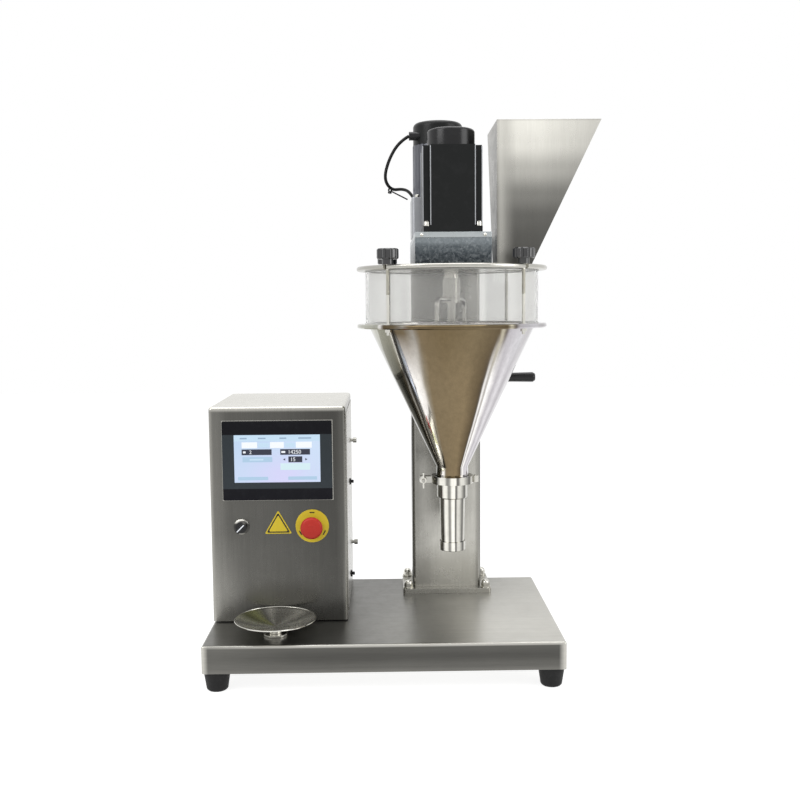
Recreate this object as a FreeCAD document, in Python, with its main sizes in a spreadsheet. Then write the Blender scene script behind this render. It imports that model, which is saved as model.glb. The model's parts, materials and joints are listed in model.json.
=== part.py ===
"""Bench auger powder filler: a weighing and filling head on a crank-lifted column.

Frame: millimetres, +Z up, the front faces -Y, the origin on the floor under the middle of the base.
Every driving size is a cell of the sheet Sizes. Places holds what follows from them.
"""
import FreeCAD, Part
import math
import os
import re

import Sketcher

from FreeCAD import Placement, Rotation, Vector

SIZES = (
    # base and feet
    ("base_width", 640, "base across X"),
    ("base_depth", 430, "base along Y"),
    ("base_skirt", 50, "height of the folded skirt"),
    ("base_sheet", 3, "sheet of the base"),
    ("base_round", 5, "bend radius of the base"),
    ("gusset_side", 62, "corner plate that carries a foot"),
    ("foot_height", 35, "floor to skirt"),
    ("foot_top_radius", 23.5, "rubber foot at its top"),
    ("foot_low_radius", 19, "rubber foot at the floor"),
    ("foot_inset", 24, "foot axis from the base edges"),
    ("foot_screw_radius", 4, "screw of a foot"),
    # column and its lift
    ("hopper_x", 129, "axis of hopper, auger and column across X"),
    ("hopper_y", -70, "axis of hopper and auger along Y"),
    ("column_front", 110, "front face of the column along Y"),
    ("column_width", 140, "column across X"),
    ("column_depth", 84, "column along Y"),
    ("column_wall", 3, "wall of the column"),
    ("column_round", 8, "corner radius of the column"),
    ("plate_thick", 10, "foot plate of the column"),
    ("plate_side", 20, "foot plate past the column at the sides"),
    ("plate_end", 17, "foot plate past the column at front and back"),
    ("bolt_inset", 11, "column bolts from the plate edges"),
    ("bolt_radius", 5, "column bolts"),
    ("dome_radius", 8, "dome nuts"),
    ("dome_height", 14, "dome nut over its washer"),
    ("washer_thick", 2, "washers of the column bolts"),
    ("washer_radius", 10.5, "washers of the column bolts"),
    ("head_low", 743, "underside of the head box over the floor"),
    ("seat_gap", 0.3, "gap where one piece rests on another that moves away"),
    ("guide_flange", 5, "rim of the nylon guide on the column"),
    ("guide_depth", 42, "nylon guide inside the column"),
    ("guide_fit", 0.4, "guide and shoe to steel, each side"),
    ("post_width", 70, "inner post across X"),
    ("post_depth", 38, "inner post along Y"),
    ("post_wall", 4, "wall of the inner post"),
    ("post_flange", 8, "flange of the post inside the head box"),
    ("post_flange_side", 14, "flange past the post"),
    ("shoe_height", 30, "nylon shoe at the foot of the post"),
    ("shoe_room", 12, "shoe to pinion with the head up"),
    ("lift_travel", 150, "travel of the head"),
    ("pinion_height", 585, "pinion axis over the floor"),
    ("gear_module", 1.5, "module of rack and pinion"),
    ("pinion_teeth", 16, "teeth of the pinion"),
    ("tooth_play", 0.3, "backlash at the pitch line"),
    ("pinion_width", 18, "face width of the pinion"),
    ("pinion_room", 2.3, "pinion tip to column wall"),
    ("rack_width", 16, "rack across X"),
    ("rack_body", 9, "pitch line of the rack to the post"),
    ("rack_end", 20, "rack past the pinion at both ends of the travel"),
    ("shaft_radius", 6, "crank shaft"),
    ("shaft_fit", 0.05, "radial running fit of shafts"),
    ("bush_radius", 9, "bushings in the column walls"),
    ("bush_flange_radius", 13, "flange of the bushings"),
    ("bush_flange", 3, "thickness of the bushing flange"),
    ("bush_length", 12, "bushing inside the column"),
    ("crank_gap", 1, "crank hub to bushing"),
    ("crank_hub_radius", 12, "crank hub"),
    ("crank_hub_length", 16, "crank hub along the shaft"),
    ("crank_reach", 60, "shaft axis to grip axis"),
    ("crank_bar_width", 20, "crank arm across"),
    ("crank_bar_thick", 8, "crank arm thickness"),
    ("grip_radius", 10, "crank grip"),
    ("grip_length", 96, "crank grip"),
    ("grip_pin_radius", 4, "pin under the grip"),
    ("grip_pin_length", 86, "pin inside the grip"),
    ("pin_fit", 0.08, "radial fit of grip, knobs and dish"),
    # head box and drives
    ("head_width", 136, "head box across X"),
    ("head_reach", 60, "head box in front of the hopper axis"),
    ("head_tail", 2, "head box behind the column"),
    ("head_height", 49, "head box"),
    ("head_sheet", 3, "sheet of the head box"),
    ("motor_plate_thick", 10, "plate that carries the motors"),
    ("servo_side", 105, "square frame of the auger servo"),
    ("servo_length", 153, "auger servo without its cap"),
    ("servo_notch", 13, "notches at the servo corners"),
    ("servo_flange", 11, "servo flange"),
    ("servo_screw_height", 8, "screw heads on the servo flange"),
    ("servo_cap_radius", 43, "cap of the servo"),
    ("servo_cap_height", 33, "cap of the servo"),
    ("servo_shaft_radius", 7, "shaft of the servo"),
    ("servo_shaft_length", 50, "shaft below the servo"),
    ("stir_shift", 18, "stir motor axis left of its output shaft"),
    ("stir_y", 40, "stir motor axis along Y"),
    ("gearhead_side", 104, "square gearhead"),
    ("gearhead_height", 73, "gearhead"),
    ("gearhead_round", 6, "corner radius of the gearhead"),
    ("stir_body_radius", 48, "stir motor body"),
    ("stir_body_height", 100, "stir motor body"),
    ("stir_fins", 24, "ribs round the stir motor"),
    ("fin_depth", 2, "depth of the ribs"),
    ("fan_cover_radius", 47, "fan cover"),
    ("fan_cover_height", 43, "fan cover"),
    ("fan_cover_round", 9, "top edge of the fan cover"),
    ("stir_shaft_radius", 6, "output shaft of the gearhead"),
    ("drive_teeth", 24, "teeth of the drive pulley"),
    ("driven_teeth", 30, "teeth of the driven pulley"),
    ("belt_pitch", 5, "pitch of the timing belt"),
    ("belt_width", 12, "timing belt"),
    ("belt_thick", 2.2, "timing belt"),
    ("belt_room", 0.4, "belt to pulley"),
    ("pulley_flange", 1.5, "flanges of the pulleys"),
    ("pulley_lip", 4, "flanges over the teeth"),
    ("pulley_side", 0.5, "belt edge to pulley flange"),
    ("pulley_low", 17, "pulleys over the lid"),
    # lid, quill, auger and agitator
    ("lid_radius", 173, "lid and hopper flange"),
    ("lid_thick", 8, "lid and hopper flange"),
    ("lid_round", 2, "edge of the lid and flange"),
    ("seal_radius", 18, "shaft seal in the lid"),
    ("housing_radius", 31, "bearing housing"),
    ("housing_height", 15, "bearing housing"),
    ("housing_lip", 2, "lip under the bearing"),
    ("bearing_radius", 23.5, "outer ring of the bearing"),
    ("bearing_height", 12, "bearing"),
    ("quill_radius", 12.5, "hollow shaft of the agitator"),
    ("quill_bore", 9.9, "bore of the hollow shaft"),
    ("quill_drop", 51, "hollow shaft under the lid"),
    ("quill_rise", 35, "hollow shaft over the lid"),
    ("socket_radius", 9.5, "coupling socket at the top of the auger"),
    ("socket_top", 48, "coupling socket over the lid"),
    ("auger_shaft_radius", 7.5, "core of the auger"),
    ("auger_radius", 18, "auger flight"),
    ("auger_pitch", 32, "pitch of the flight"),
    ("auger_turns", 7.5, "turns of the flight"),
    ("auger_blade", 2.5, "thickness of the flight"),
    ("auger_rise", 4, "auger tip over the outlet face"),
    ("tube_play", 0.6, "flight to tube"),
    ("clamp_sleeve_radius", 16, "sleeve that carries the agitator arms"),
    ("clamp_sleeve_height", 45, "sleeve that carries the agitator arms"),
    ("sleeve_drop", 7, "sleeve below the hollow shaft"),
    ("set_screw_radius", 5.5, "heads of the two clamp screws"),
    ("set_screw_length", 4, "heads of the two clamp screws"),
    ("set_screw_low", 19, "lower clamp screw over the foot of the sleeve"),
    ("set_screw_step", 14, "between the clamp screws"),
    ("arm_radius", 4, "agitator rod"),
    ("arm_rise", 7, "agitator rod over the foot of its sleeve"),
    ("arm_bend", 14, "bend radius of the agitator rod"),
    ("arm_top_reach", 128, "agitator rod from the axis at the top"),
    ("arm_low_reach", 30, "agitator rod from the axis at the foot"),
    ("arm_low", 412, "foot of the agitator over the floor"),
    ("arm_turn", 75, "degrees from +X to the agitator arms at rest"),
    ("sleeve_play", 1.5, "sleeve to auger core"),
    # hopper and outlet
    ("cylinder_height", 95, "clear cylinder with its seals"),
    ("cylinder_radius", 157.5, "clear cylinder"),
    ("cylinder_wall", 5, "clear cylinder"),
    ("seal_thick", 1.5, "seals of the clear cylinder"),
    ("cone_radius", 150, "cone at the flange"),
    ("cone_wall", 1.5, "cone sheet"),
    ("neck_radius", 30, "neck of the cone"),
    ("neck_height", 25, "top of the neck over the ferrule joint"),
    ("joint_height", 351, "ferrule joint over the floor"),
    ("ferrule_radius", 35.5, "ferrules"),
    ("ferrule_thick", 5.5, "ferrules"),
    ("ferrule_seal", 1, "seal between the ferrules"),
    ("clamp_radius", 39, "clamp ring"),
    ("clamp_half_height", 7, "clamp ring from its middle"),
    ("clamp_split", 1.5, "gap between the clamp halves"),
    ("clamp_play", 0.8, "clamp groove to ferrules"),
    ("clamp_lip", 1.5, "clamp to neck"),
    ("clamp_lug_end", 6, "lugs past the clamp bolt"),
    ("clamp_lug_half", 8, "lug from the split to its outer face"),
    ("clamp_lug_bite", 1.5, "lug into the hoop"),
    ("clamp_bolt_radius", 3, "clamp bolt"),
    ("clamp_bolt_length", 38, "clamp bolt"),
    ("clamp_head_radius", 5.5, "head of the clamp bolt"),
    ("clamp_head_height", 4, "head of the clamp bolt"),
    ("clamp_pin_radius", 2.5, "hinge pin of the clamp"),
    ("clamp_knuckle_radius", 6, "hinge knuckle of the clamp"),
    ("clamp_web_side", 8, "web between hoop and knuckle"),
    ("wing_span", 29, "wing nut across its wings"),
    ("wing_gap", 0.5, "wings to clamp hoop as they turn"),
    ("wing_hub_radius", 7, "wing nut at its foot"),
    ("wing_hub_length", 10, "wing nut along its bolt"),
    ("wing_thick", 2.5, "wings"),
    ("wing_depth", 9, "wings along the bolt"),
    ("wing_root", 3, "inner end of a wing from the bolt axis"),
    ("adaptor_radius", 28, "adaptor under the clamp"),
    ("adaptor_height", 29, "adaptor under its ferrule"),
    ("funnel_depth", 8, "funnel inside the adaptor under its ferrule"),
    ("tube_top_radius", 23.6, "outlet tube at its top"),
    ("tube_low_radius", 21.8, "outlet tube at its foot"),
    ("tube_height", 81.5, "outlet tube"),
    ("ring_radius", 23.9, "outlet ring"),
    ("ring_height", 17, "outlet ring"),
    ("ring_socket", 20.2, "socket of the outlet ring"),
    ("rod_circle", 165, "tie rods from the hopper axis"),
    ("rod_radius", 3, "tie rods"),
    ("rod_tail", 10, "tie rods below the flange"),
    ("nut_height", 5, "nuts of the tie rods"),
    ("nut_radius", 5.8, "nuts of the tie rods, across corners"),
    ("slot_play", 0.7, "tie rod to its slot"),
    ("knob_radius", 19, "fluted knobs"),
    ("knob_height", 18, "fluted head"),
    ("knob_hub_radius", 9.5, "knob hub"),
    ("knob_hub_height", 9, "knob hub"),
    ("knob_flutes", 10, "flutes round a knob"),
    ("flute_radius", 3.6, "flutes of a knob"),
    ("chute_left", 79.5, "chute left wall from the hopper axis"),
    ("chute_mouth", 62, "chute foot across X"),
    ("chute_top_width", 186, "chute top across X"),
    ("chute_front", 35, "chute front wall ahead of the hopper axis"),
    ("chute_foot_depth", 72, "chute foot along Y"),
    ("chute_top_depth", 167, "chute top along Y"),
    ("chute_height", 257, "chute over the lid"),
    ("chute_wall", 1.5, "chute sheet"),
    # control box
    ("box_width", 252, "control box across X"),
    ("box_depth", 290, "control box along Y"),
    ("box_height", 405, "control box over the base"),
    ("box_rear_gap", 5, "control box to the rear edge of the base"),
    ("box_sheet", 2, "sheet of the control box"),
    ("box_round", 6, "bent edges of the control box"),
    ("box_lift", 2, "shadow gap under the control box"),
    ("cover_play", 0.4, "rear cover to box"),
    ("side_margin", 14, "side cover from the box edges"),
    ("side_sheet", 1.5, "side cover"),
    ("thumb_radius", 5.5, "side screws"),
    ("thumb_length", 12, "side screws"),
    ("thumb_inset", 60, "side screws from the rear of the box"),
    ("thumb_low", 97, "lower side screw over the base"),
    ("thumb_high", 311, "upper side screw over the base"),
    ("slot_count", 9, "cooling slots in a column"),
    ("slot_length", 70, "cooling slots"),
    ("slot_height", 4, "cooling slots"),
    ("slot_step", 11, "cooling slots"),
    ("slot_drop", 60, "top slot from the top of the box"),
    ("socket_barrel", 8, "cable sockets in the rear cover"),
    ("socket_length", 14, "cable sockets in the rear cover"),
    ("socket_side", 20, "first cable socket from the middle of the box"),
    ("socket_step", 40, "between the cable sockets"),
    ("panel_width", 202, "touch panel bezel"),
    ("panel_height", 147, "touch panel bezel"),
    ("panel_low", 232, "touch panel over the base"),
    ("panel_proud", 6, "bezel ahead of the box"),
    ("panel_round", 3, "bezel corners"),
    ("panel_back_side", 7, "bezel past the panel body"),
    ("panel_back_depth", 34, "panel body inside the box"),
    ("panel_cut_play", 0.5, "panel body to its cut-out"),
    ("screen_width", 158, "screen glass"),
    ("screen_height", 88, "screen glass"),
    ("screen_rise", 4, "screen centre over the bezel centre"),
    ("screen_thick", 1.2, "screen glass"),
    ("row_height", 182, "row of controls over the base"),
    ("selector_x", -69, "selector from the middle of the box"),
    ("selector_bezel_radius", 14.5, "selector bezel"),
    ("selector_bezel_thick", 3.5, "selector bezel"),
    ("selector_knob_radius", 10.5, "selector knob"),
    ("selector_knob_length", 15, "selector knob"),
    ("selector_lever", 9, "selector lever across"),
    ("selector_turn", 45, "degrees of the lever from upright at rest"),
    ("barrel_radius", 10.5, "threaded barrels behind the panel"),
    ("barrel_length", 42, "threaded barrels behind the panel"),
    ("estop_x", 62, "stop button from the middle of the box"),
    ("estop_plate_radius", 31, "yellow plate"),
    ("estop_plate_thick", 1.5, "yellow plate"),
    ("estop_collar_radius", 14, "collar of the stop button"),
    ("estop_collar_length", 10, "collar of the stop button"),
    ("estop_head_radius", 20.5, "stop button"),
    ("estop_head_height", 13, "stop button"),
    ("estop_travel", 4, "stop button"),
    ("estop_stem_radius", 5, "stem of the stop button"),
    ("estop_stem_fit", 0.35, "stem to collar"),
    ("inlet_width", 48, "mains inlet"),
    ("inlet_height", 28, "mains inlet"),
    ("inlet_depth", 24, "mains inlet inside"),
    ("inlet_side", 60, "mains inlet from the middle of the box"),
    ("inlet_rise", 40, "mains inlet over the base"),
    ("inlet_lip", 3, "flange of the mains inlet"),
    ("inlet_rim", 4, "flange past its barrel"),
    ("inlet_play", 0.4, "barrel to its cut-out"),
    ("inlet_wall", 8, "wall round the pin well"),
    ("inlet_well_depth", 13, "pin well"),
    # dish and cable
    ("dish_side", 124.5, "dish axis from the left edge of the base"),
    ("dish_front", 60.5, "dish axis from the front edge of the base"),
    ("dish_radius", 73, "dish rim"),
    ("dish_rim", 30, "dish rim over the base"),
    ("dish_depth", 15, "dish"),
    ("dish_wall", 1.5, "dish sheet"),
    ("dish_hub_radius", 11, "socket under the dish"),
    ("stub_radius", 6, "pin of the dish stub"),
    ("stub_flange_radius", 22, "flange of the dish stub"),
    ("stub_flange", 4, "flange of the dish stub"),
    ("stub_height", 10, "pin of the dish stub"),
    ("cable_radius", 3, "motor cable"),
    ("gland_radius", 8, "cable glands"),
    ("gland_length", 15, "cable glands"),
    ("gland_seat", 10, "side gland let into the fan cover's curve"),
    ("gland_ahead", 23.5, "side gland ahead of the stir motor axis"),
    ("gland_rise", 16, "side gland over the foot of the fan cover"),
    ("entry_side", 14, "lower gland from the left edge of the motor plate"),
    ("entry_back", 40, "lower gland from the rear edge of the motor plate"),
)

# corners of the motor lead: left of the side gland's mouth, behind it and below it
LEAD_STEPS = (
    (18, -1, 10), (38, 1, 42), (48, 8, 78), (34, 22, 98),
    (12, 52, 92), (-3, 88, 94), (-15, 122, 110), (-20, 138.5, 143),
)
SIZES += tuple((f"lead_{number}_{way}", amount, "corner of the motor lead")
               for number, step in enumerate(LEAD_STEPS, start=1)
               for way, amount in zip(("left", "back", "down"), step))

PLACES = (
    # upright places
    ("base_top", "foot_height + base_skirt"),
    ("plate_top", "base_top + plate_thick"),
    ("guide_top", "head_low - seat_gap"),
    ("column_top", "guide_top - guide_flange"),
    ("lid_low", "head_low - lid_thick"),
    ("flange_top", "lid_low - cylinder_height"),
    ("flange_low", "flange_top - lid_thick"),
    ("plate_low", "head_low + head_height"),
    ("drive_level", "plate_low + motor_plate_thick"),
    ("servo_top", "drive_level + servo_length"),
    ("gearhead_top", "drive_level + gearhead_height"),
    ("stir_body_top", "gearhead_top + stir_body_height"),
    ("fan_cover_top", "stir_body_top + fan_cover_height"),
    ("ferrule_low", "joint_height - ferrule_seal / 2 - ferrule_thick"),
    ("neck_top", "joint_height + neck_height"),
    ("clamp_bolt_reach", "clamp_radius + wing_span / 2 + wing_gap"),
    ("clamp_bolt_x", "hopper_x - clamp_bolt_reach"),
    ("clamp_hinge_x", "hopper_x + clamp_radius + clamp_knuckle_radius - 2"),
    ("clamp_lug_height", "2 * clamp_half_height - 2"),
    ("clamp_lug_low", "joint_height - clamp_half_height + 1"),
    ("adaptor_low", "ferrule_low - adaptor_height"),
    ("tube_low", "adaptor_low - tube_height"),
    ("outlet_low", "tube_low - ring_height"),
    ("auger_low", "outlet_low + auger_rise"),
    ("bore_radius", "auger_radius + tube_play"),
    ("quill_low", "lid_low - quill_drop"),
    ("quill_top", "head_low + quill_rise"),
    ("sleeve_low", "quill_low - sleeve_drop"),
    # column and lift
    ("column_left", "hopper_x - column_width / 2"),
    ("column_right", "hopper_x + column_width / 2"),
    ("column_back", "column_front + column_depth"),
    ("plate_width", "column_width + 2 * plate_side"),
    ("plate_depth", "column_depth + 2 * plate_end"),
    ("pitch_radius", "gear_module * pinion_teeth / 2"),
    ("tooth_tip", "0.8 * gear_module"),
    ("tooth_root", "1.1 * gear_module"),
    ("pinion_y", "column_front + column_wall + pinion_room + pitch_radius + tooth_tip"),
    ("pitch_line", "pinion_y + pitch_radius"),
    ("post_front", "pitch_line + rack_body"),
    ("post_back", "post_front + post_depth"),
    ("shoe_top", "pinion_height - pitch_radius - tooth_tip - lift_travel - shoe_room"),
    ("shoe_low", "shoe_top - shoe_height"),
    ("rack_low", "pinion_height - lift_travel - rack_end"),
    ("rack_top", "pinion_height + rack_end"),
    ("hub_start", "column_right + bush_flange + crank_gap"),
    ("hub_end", "hub_start + crank_hub_length"),
    ("bar_start", "hub_start + (crank_hub_length - crank_bar_thick) / 2"),
    ("bar_end", "bar_start + crank_bar_thick"),
    ("grip_height", "pinion_height - crank_reach"),
    ("grip_start", "bar_end + crank_gap"),
    # head
    ("head_left", "hopper_x - head_width / 2"),
    ("head_front", "hopper_y - head_reach"),
    ("head_back", "column_back + head_tail"),
    ("stir_x", "hopper_x - stir_shift"),
    ("drive_radius", "drive_teeth * belt_pitch / (2 * pi) - 0.5"),
    ("driven_radius", "driven_teeth * belt_pitch / (2 * pi) - 0.5"),
    ("pulley_face", "belt_width + 2 * pulley_side"),
    ("pulley_start", "head_low + pulley_low"),
    ("chute_x", "hopper_x + chute_left"),
    ("chute_y", "hopper_y - chute_front"),
    # control box
    ("box_left", "-base_width / 2"),
    ("box_right", "box_left + box_width"),
    ("box_x", "box_left + box_width / 2"),
    ("box_low", "base_top + box_lift"),
    ("box_top", "base_top + box_height"),
    ("box_back", "base_depth / 2 - box_rear_gap"),
    ("box_front", "box_back - box_depth"),
    ("thumb_y", "box_back - thumb_inset"),
    ("inlet_x", "box_x - inlet_side"),
    ("inlet_y", "box_back + inlet_lip"),
    ("row_z", "base_top + row_height"),
    ("panel_z", "base_top + panel_low"),
    ("screen_low", "panel_z + (panel_height - screen_height) / 2 + screen_rise"),
    ("dish_x", "dish_side - base_width / 2"),
    ("dish_y", "dish_front - base_depth / 2"),
    ("dish_level", "base_top + dish_rim"),
    ("dish_seat", "base_top + stub_flange + seat_gap"),
    ("dish_sphere", "(dish_radius * dish_radius + dish_depth * dish_depth) / (2 * dish_depth)"),
    ("gland_y", "stir_y - gland_ahead"),
    ("gland_x", "stir_x - sqrt(fan_cover_radius ^ 2 - gland_ahead ^ 2)"),
    ("gland_z", "stir_body_top + gland_rise"),
    ("entry_x", "head_left + entry_side"),
    ("entry_y", "head_back - entry_back"),
)

doc = FreeCAD.newDocument("auger_powder_filler")
sheet = doc.addObject("Spreadsheet::Sheet", "Sizes")
for row, (alias, amount, note) in enumerate(SIZES, start=1):
    sheet.set(f"A{row}", alias)
    sheet.set(f"B{row}", str(amount))
    sheet.set(f"C{row}", note)
    sheet.setAlias(f"B{row}", alias)
doc.recompute()

HOLDER = {alias: "Sizes" for alias, amount, note in SIZES}
places = doc.addObject("App::VarSet", "Places")


def formula(text):
    """Name the holder of each size or place in a formula."""
    def named(match):
        word = match.group(0)
        return f"{HOLDER[word]}.{word}" if word in HOLDER else word
    return re.sub(r"[a-z][a-z_0-9]*", named, str(text))


for alias, text in PLACES:
    places.addProperty("App::PropertyFloat", alias, "Places", text)
    places.setExpression(alias, formula(text))
    HOLDER[alias] = "Places"
doc.recompute()


class Measures:
    """Reads a size or a place as a number."""

    def __getattr__(self, name):
        return float(getattr(places if HOLDER[name] == "Places" else sheet, name))


at = Measures()
nodes = {}


def node(name, piece):
    """Give a finished sub-part its name."""
    piece.Label = name
    nodes[name] = piece
    return piece


def bind(piece, **formulas):
    for name, text in formulas.items():
        piece.setExpression(name, formula(text))
    return piece


def place(piece, x="0", y="0", z="0"):
    for axis, text in zip("xyz", (x, y, z)):
        piece.setExpression(f"Placement.Base.{axis}", formula(text))
    return piece


TURNS = {
    "+z": Rotation(),
    "+x": Rotation(Vector(0, 1, 0), 90),
    "-x": Rotation(Vector(0, 1, 0), -90),
    "+y": Rotation(Vector(1, 0, 0), -90),
    "-y": Rotation(Vector(1, 0, 0), 90),
}


def block(name, length, width, height, x, y, z):
    """A box from its low corner."""
    piece = doc.addObject("Part::Box", name)
    bind(piece, Length=length, Width=width, Height=height)
    return place(piece, x, y, z)


def rod(name, radius, length, x, y, z, along="+z"):
    piece = doc.addObject("Part::Cylinder", name)
    bind(piece, Radius=radius, Height=length)
    piece.Placement = Placement(Vector(), TURNS[along])
    return place(piece, x, y, z)


def taper(name, start_radius, end_radius, length, x, y, z, along="+z"):
    piece = doc.addObject("Part::Cone", name)
    bind(piece, Radius1=start_radius, Radius2=end_radius, Height=length)
    piece.Placement = Placement(Vector(), TURNS[along])
    return place(piece, x, y, z)


def hexagon(name, radius, length, x, y, z, along="+z"):
    piece = doc.addObject("Part::Prism", name)
    piece.Polygon = 6
    bind(piece, Circumradius=radius, Height=length)
    piece.Placement = Placement(Vector(), TURNS[along])
    return place(piece, x, y, z)


def cut(name, piece, *tools):
    result = doc.addObject("Part::Cut", name)
    result.Base = piece
    result.Tool = tools[0] if len(tools) == 1 else fuse(f"{name}_tools", *tools)
    return result


def fuse(name, *pieces):
    result = doc.addObject("Part::MultiFuse", name)
    result.Shapes = list(pieces)
    result.Refine = True
    return result


def group(name, *pieces):
    """Separate solids in one node."""
    result = doc.addObject("Part::Compound", name)
    result.Links = list(pieces)
    return result


def ring(name, outer, inner, length, x, y, z, along="+z"):
    return cut(name, rod(f"{name}_outer", outer, length, x, y, z, along),
               rod(f"{name}_bore", inner, length, x, y, z, along))


def shaped(name, shape, x="0", y="0", z="0"):
    """A piece whose shape is worked out below from the sizes."""
    piece = doc.addObject("Part::Feature", name)
    piece.Shape = shape
    return place(piece, x, y, z)


def edges_of(feature, wanted):
    """Names of the edges of a feature whose middle passes a test."""
    doc.recompute()
    found = []
    for number, edge in enumerate(feature.Shape.Edges, start=1):
        middle = edge.valueAt((edge.FirstParameter + edge.LastParameter) / 2)
        if wanted(edge, middle):
            found.append(f"Edge{number}")
    return found


def upright(edge, middle):
    box = edge.BoundBox
    return box.ZLength > 1 and box.XLength < 0.01 and box.YLength < 0.01


def body(name):
    return doc.addObject("PartDesign::Body", name)


def datum(owner, role):
    return next(feature for feature in owner.Origin.OriginFeatures if feature.Role == role)


def sketch_on(owner, role, name, offset=None):
    sketch = owner.newObject("Sketcher::SketchObject", name)
    sketch.AttachmentSupport = [(datum(owner, role), "")]
    sketch.MapMode = "FlatFace"
    if offset:
        sketch.setExpression("AttachmentOffset.Base.z", formula(offset))
    return sketch


def pin_point(sketch, geometry, point, across, up):
    """Hold one point of a sketch at a place given by two formulas."""
    for kind, text in (("DistanceX", across), ("DistanceY", up)):
        number = sketch.addConstraint(Sketcher.Constraint(kind, -1, 1, geometry, point, 1.0))
        sketch.setExpression(f"Constraints[{number}]", formula(text))


def outline(owner, role, name, points, offset=None):
    """A closed outline of straight lines through points given by formulas."""
    sketch = sketch_on(owner, role, name, offset)
    count = len(points)
    spread = [Rotation(Vector(0, 0, 1), 360 * number / count).multVec(Vector(100, 0, 0))
              for number in range(count)]
    for number in range(count):
        sketch.addGeometry(Part.LineSegment(spread[number], spread[(number + 1) % count]), False)
    for number in range(count):
        sketch.addConstraint(Sketcher.Constraint("Coincident", number, 2, (number + 1) % count, 1))
    for number, (across, up) in enumerate(points):
        pin_point(sketch, number, 1, across, up)
    return sketch


def rectangle(left, low, right, high):
    return ((left, low), (right, low), (right, high), (left, high))


def circle(owner, role, name, across, up, radius, offset=None):
    sketch = sketch_on(owner, role, name, offset)
    sketch.addGeometry(Part.Circle(Vector(10, 10, 0), Vector(0, 0, 1), 5), False)
    pin_point(sketch, 0, 3, across, up)
    number = sketch.addConstraint(Sketcher.Constraint("Radius", 0, 5.0))
    sketch.setExpression(f"Constraints[{number}]", formula(radius))
    return sketch


def pad(owner, sketch, length, reverse=False):
    feature = owner.newObject("PartDesign::Pad", f"{sketch.Name}_pad")
    feature.Profile = sketch
    feature.Reversed = reverse
    return bind(feature, Length=length)


def pocket(owner, sketch, depth, reverse=False):
    feature = owner.newObject("PartDesign::Pocket", f"{sketch.Name}_pocket")
    feature.Profile = sketch
    feature.Reversed = reverse
    return bind(feature, Length=depth)


def round_edges(owner, feature, radius, wanted):
    names = edges_of(feature, wanted)
    rounding = owner.newObject("PartDesign::Fillet", f"{feature.Name}_round")
    rounding.Base = (feature, names)
    return bind(rounding, Radius=radius)


def repeat_round(owner, feature, count):
    """Repeat a feature round the body's own Z axis."""
    pattern = owner.newObject("PartDesign::PolarPattern", f"{feature.Name}_pattern")
    pattern.Originals = [feature]
    pattern.Axis = (datum(owner, "Z_Axis"), [""])
    pattern.Angle = 360
    bind(pattern, Occurrences=count)
    owner.Tip = pattern
    return pattern


def turned(name, points, x="0", y="0", z="0"):
    """A piece turned about an upright axis from an outline of (radius, height) formulas."""
    owner = body(name)
    sketch = outline(owner, "XZ_Plane", f"{name}_outline", points)
    turn = owner.newObject("PartDesign::Revolution", f"{name}_turn")
    turn.Profile = sketch
    turn.ReferenceAxis = (sketch, ["V_Axis"])
    turn.Angle = 360
    place(owner, x, y, z)
    return owner


def bent_wire(points, bend):
    """Straight runs joined by tangent arcs. A bend is one radius, or None for the largest that fits."""
    corners = [Vector(*point) for point in points]
    edges = []
    start = corners[0]
    for before, corner, after in zip(corners, corners[1:], corners[2:]):
        inward = (before - corner).normalize()
        outward = (after - corner).normalize()
        half_turn = (math.pi - inward.getAngle(outward)) / 2
        shorter = min((before - corner).Length, (after - corner).Length)
        radius = bend or 0.45 * shorter / math.tan(half_turn)
        reach = radius * math.tan(half_turn)
        first = corner + inward * reach
        last = corner + outward * reach
        middle_way = (inward + outward).normalize()
        middle = corner + middle_way * (radius / math.cos(half_turn) - radius)
        edges.append(Part.LineSegment(start, first).toShape())
        edges.append(Part.Arc(first, middle, last).toShape())
        start = last
    edges.append(Part.LineSegment(start, corners[-1]).toShape())
    return Part.Wire(edges)


def bent_rod(points, radius, bend=None):
    wire = bent_wire(points, bend)
    first = wire.Edges[0]
    heading = first.tangentAt(first.FirstParameter)
    section = Part.Wire(Part.makeCircle(radius, Vector(*points[0]), heading))
    return wire.makePipeShell([section], True, False)


# ---------------------------------------------------------------- base and feet


def make_base_pan():
    pan = body("pan_block")
    plan = outline(pan, "XY_Plane", "pan_plan", rectangle(
        "-base_width / 2", "-base_depth / 2", "base_width / 2", "base_depth / 2"))
    skirt = pad(pan, plan, "base_skirt")
    round_edges(pan, skirt, "base_round",
                lambda edge, middle: upright(edge, middle) or middle.z > at.base_skirt - 0.01)
    place(pan, z="foot_height")
    hollow = block("pan_hollow", "base_width - 2 * base_sheet", "base_depth - 2 * base_sheet",
                   "base_skirt - base_sheet", "base_sheet - base_width / 2",
                   "base_sheet - base_depth / 2", "foot_height")
    gussets = []
    holes = []
    for side in (-1, 1):
        for end in (-1, 1):
            name = f"gusset_{len(gussets)}"
            x = f"{side} * (base_width / 2 - base_sheet) - {(1 + side) / 2} * gusset_side"
            y = f"{end} * (base_depth / 2 - base_sheet) - {(1 + end) / 2} * gusset_side"
            gussets.append(block(name, "gusset_side", "gusset_side", "base_sheet", x, y, "foot_height"))
            holes.append(rod(f"{name}_hole", "foot_screw_radius", "base_sheet",
                             f"{side} * (base_width / 2 - foot_inset)",
                             f"{end} * (base_depth / 2 - foot_inset)", "foot_height"))
    folded = cut("pan_folded", pan, hollow)
    node("base_pan", cut("base_pan", fuse("pan_welded", folded, *gussets), *holes))


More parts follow.
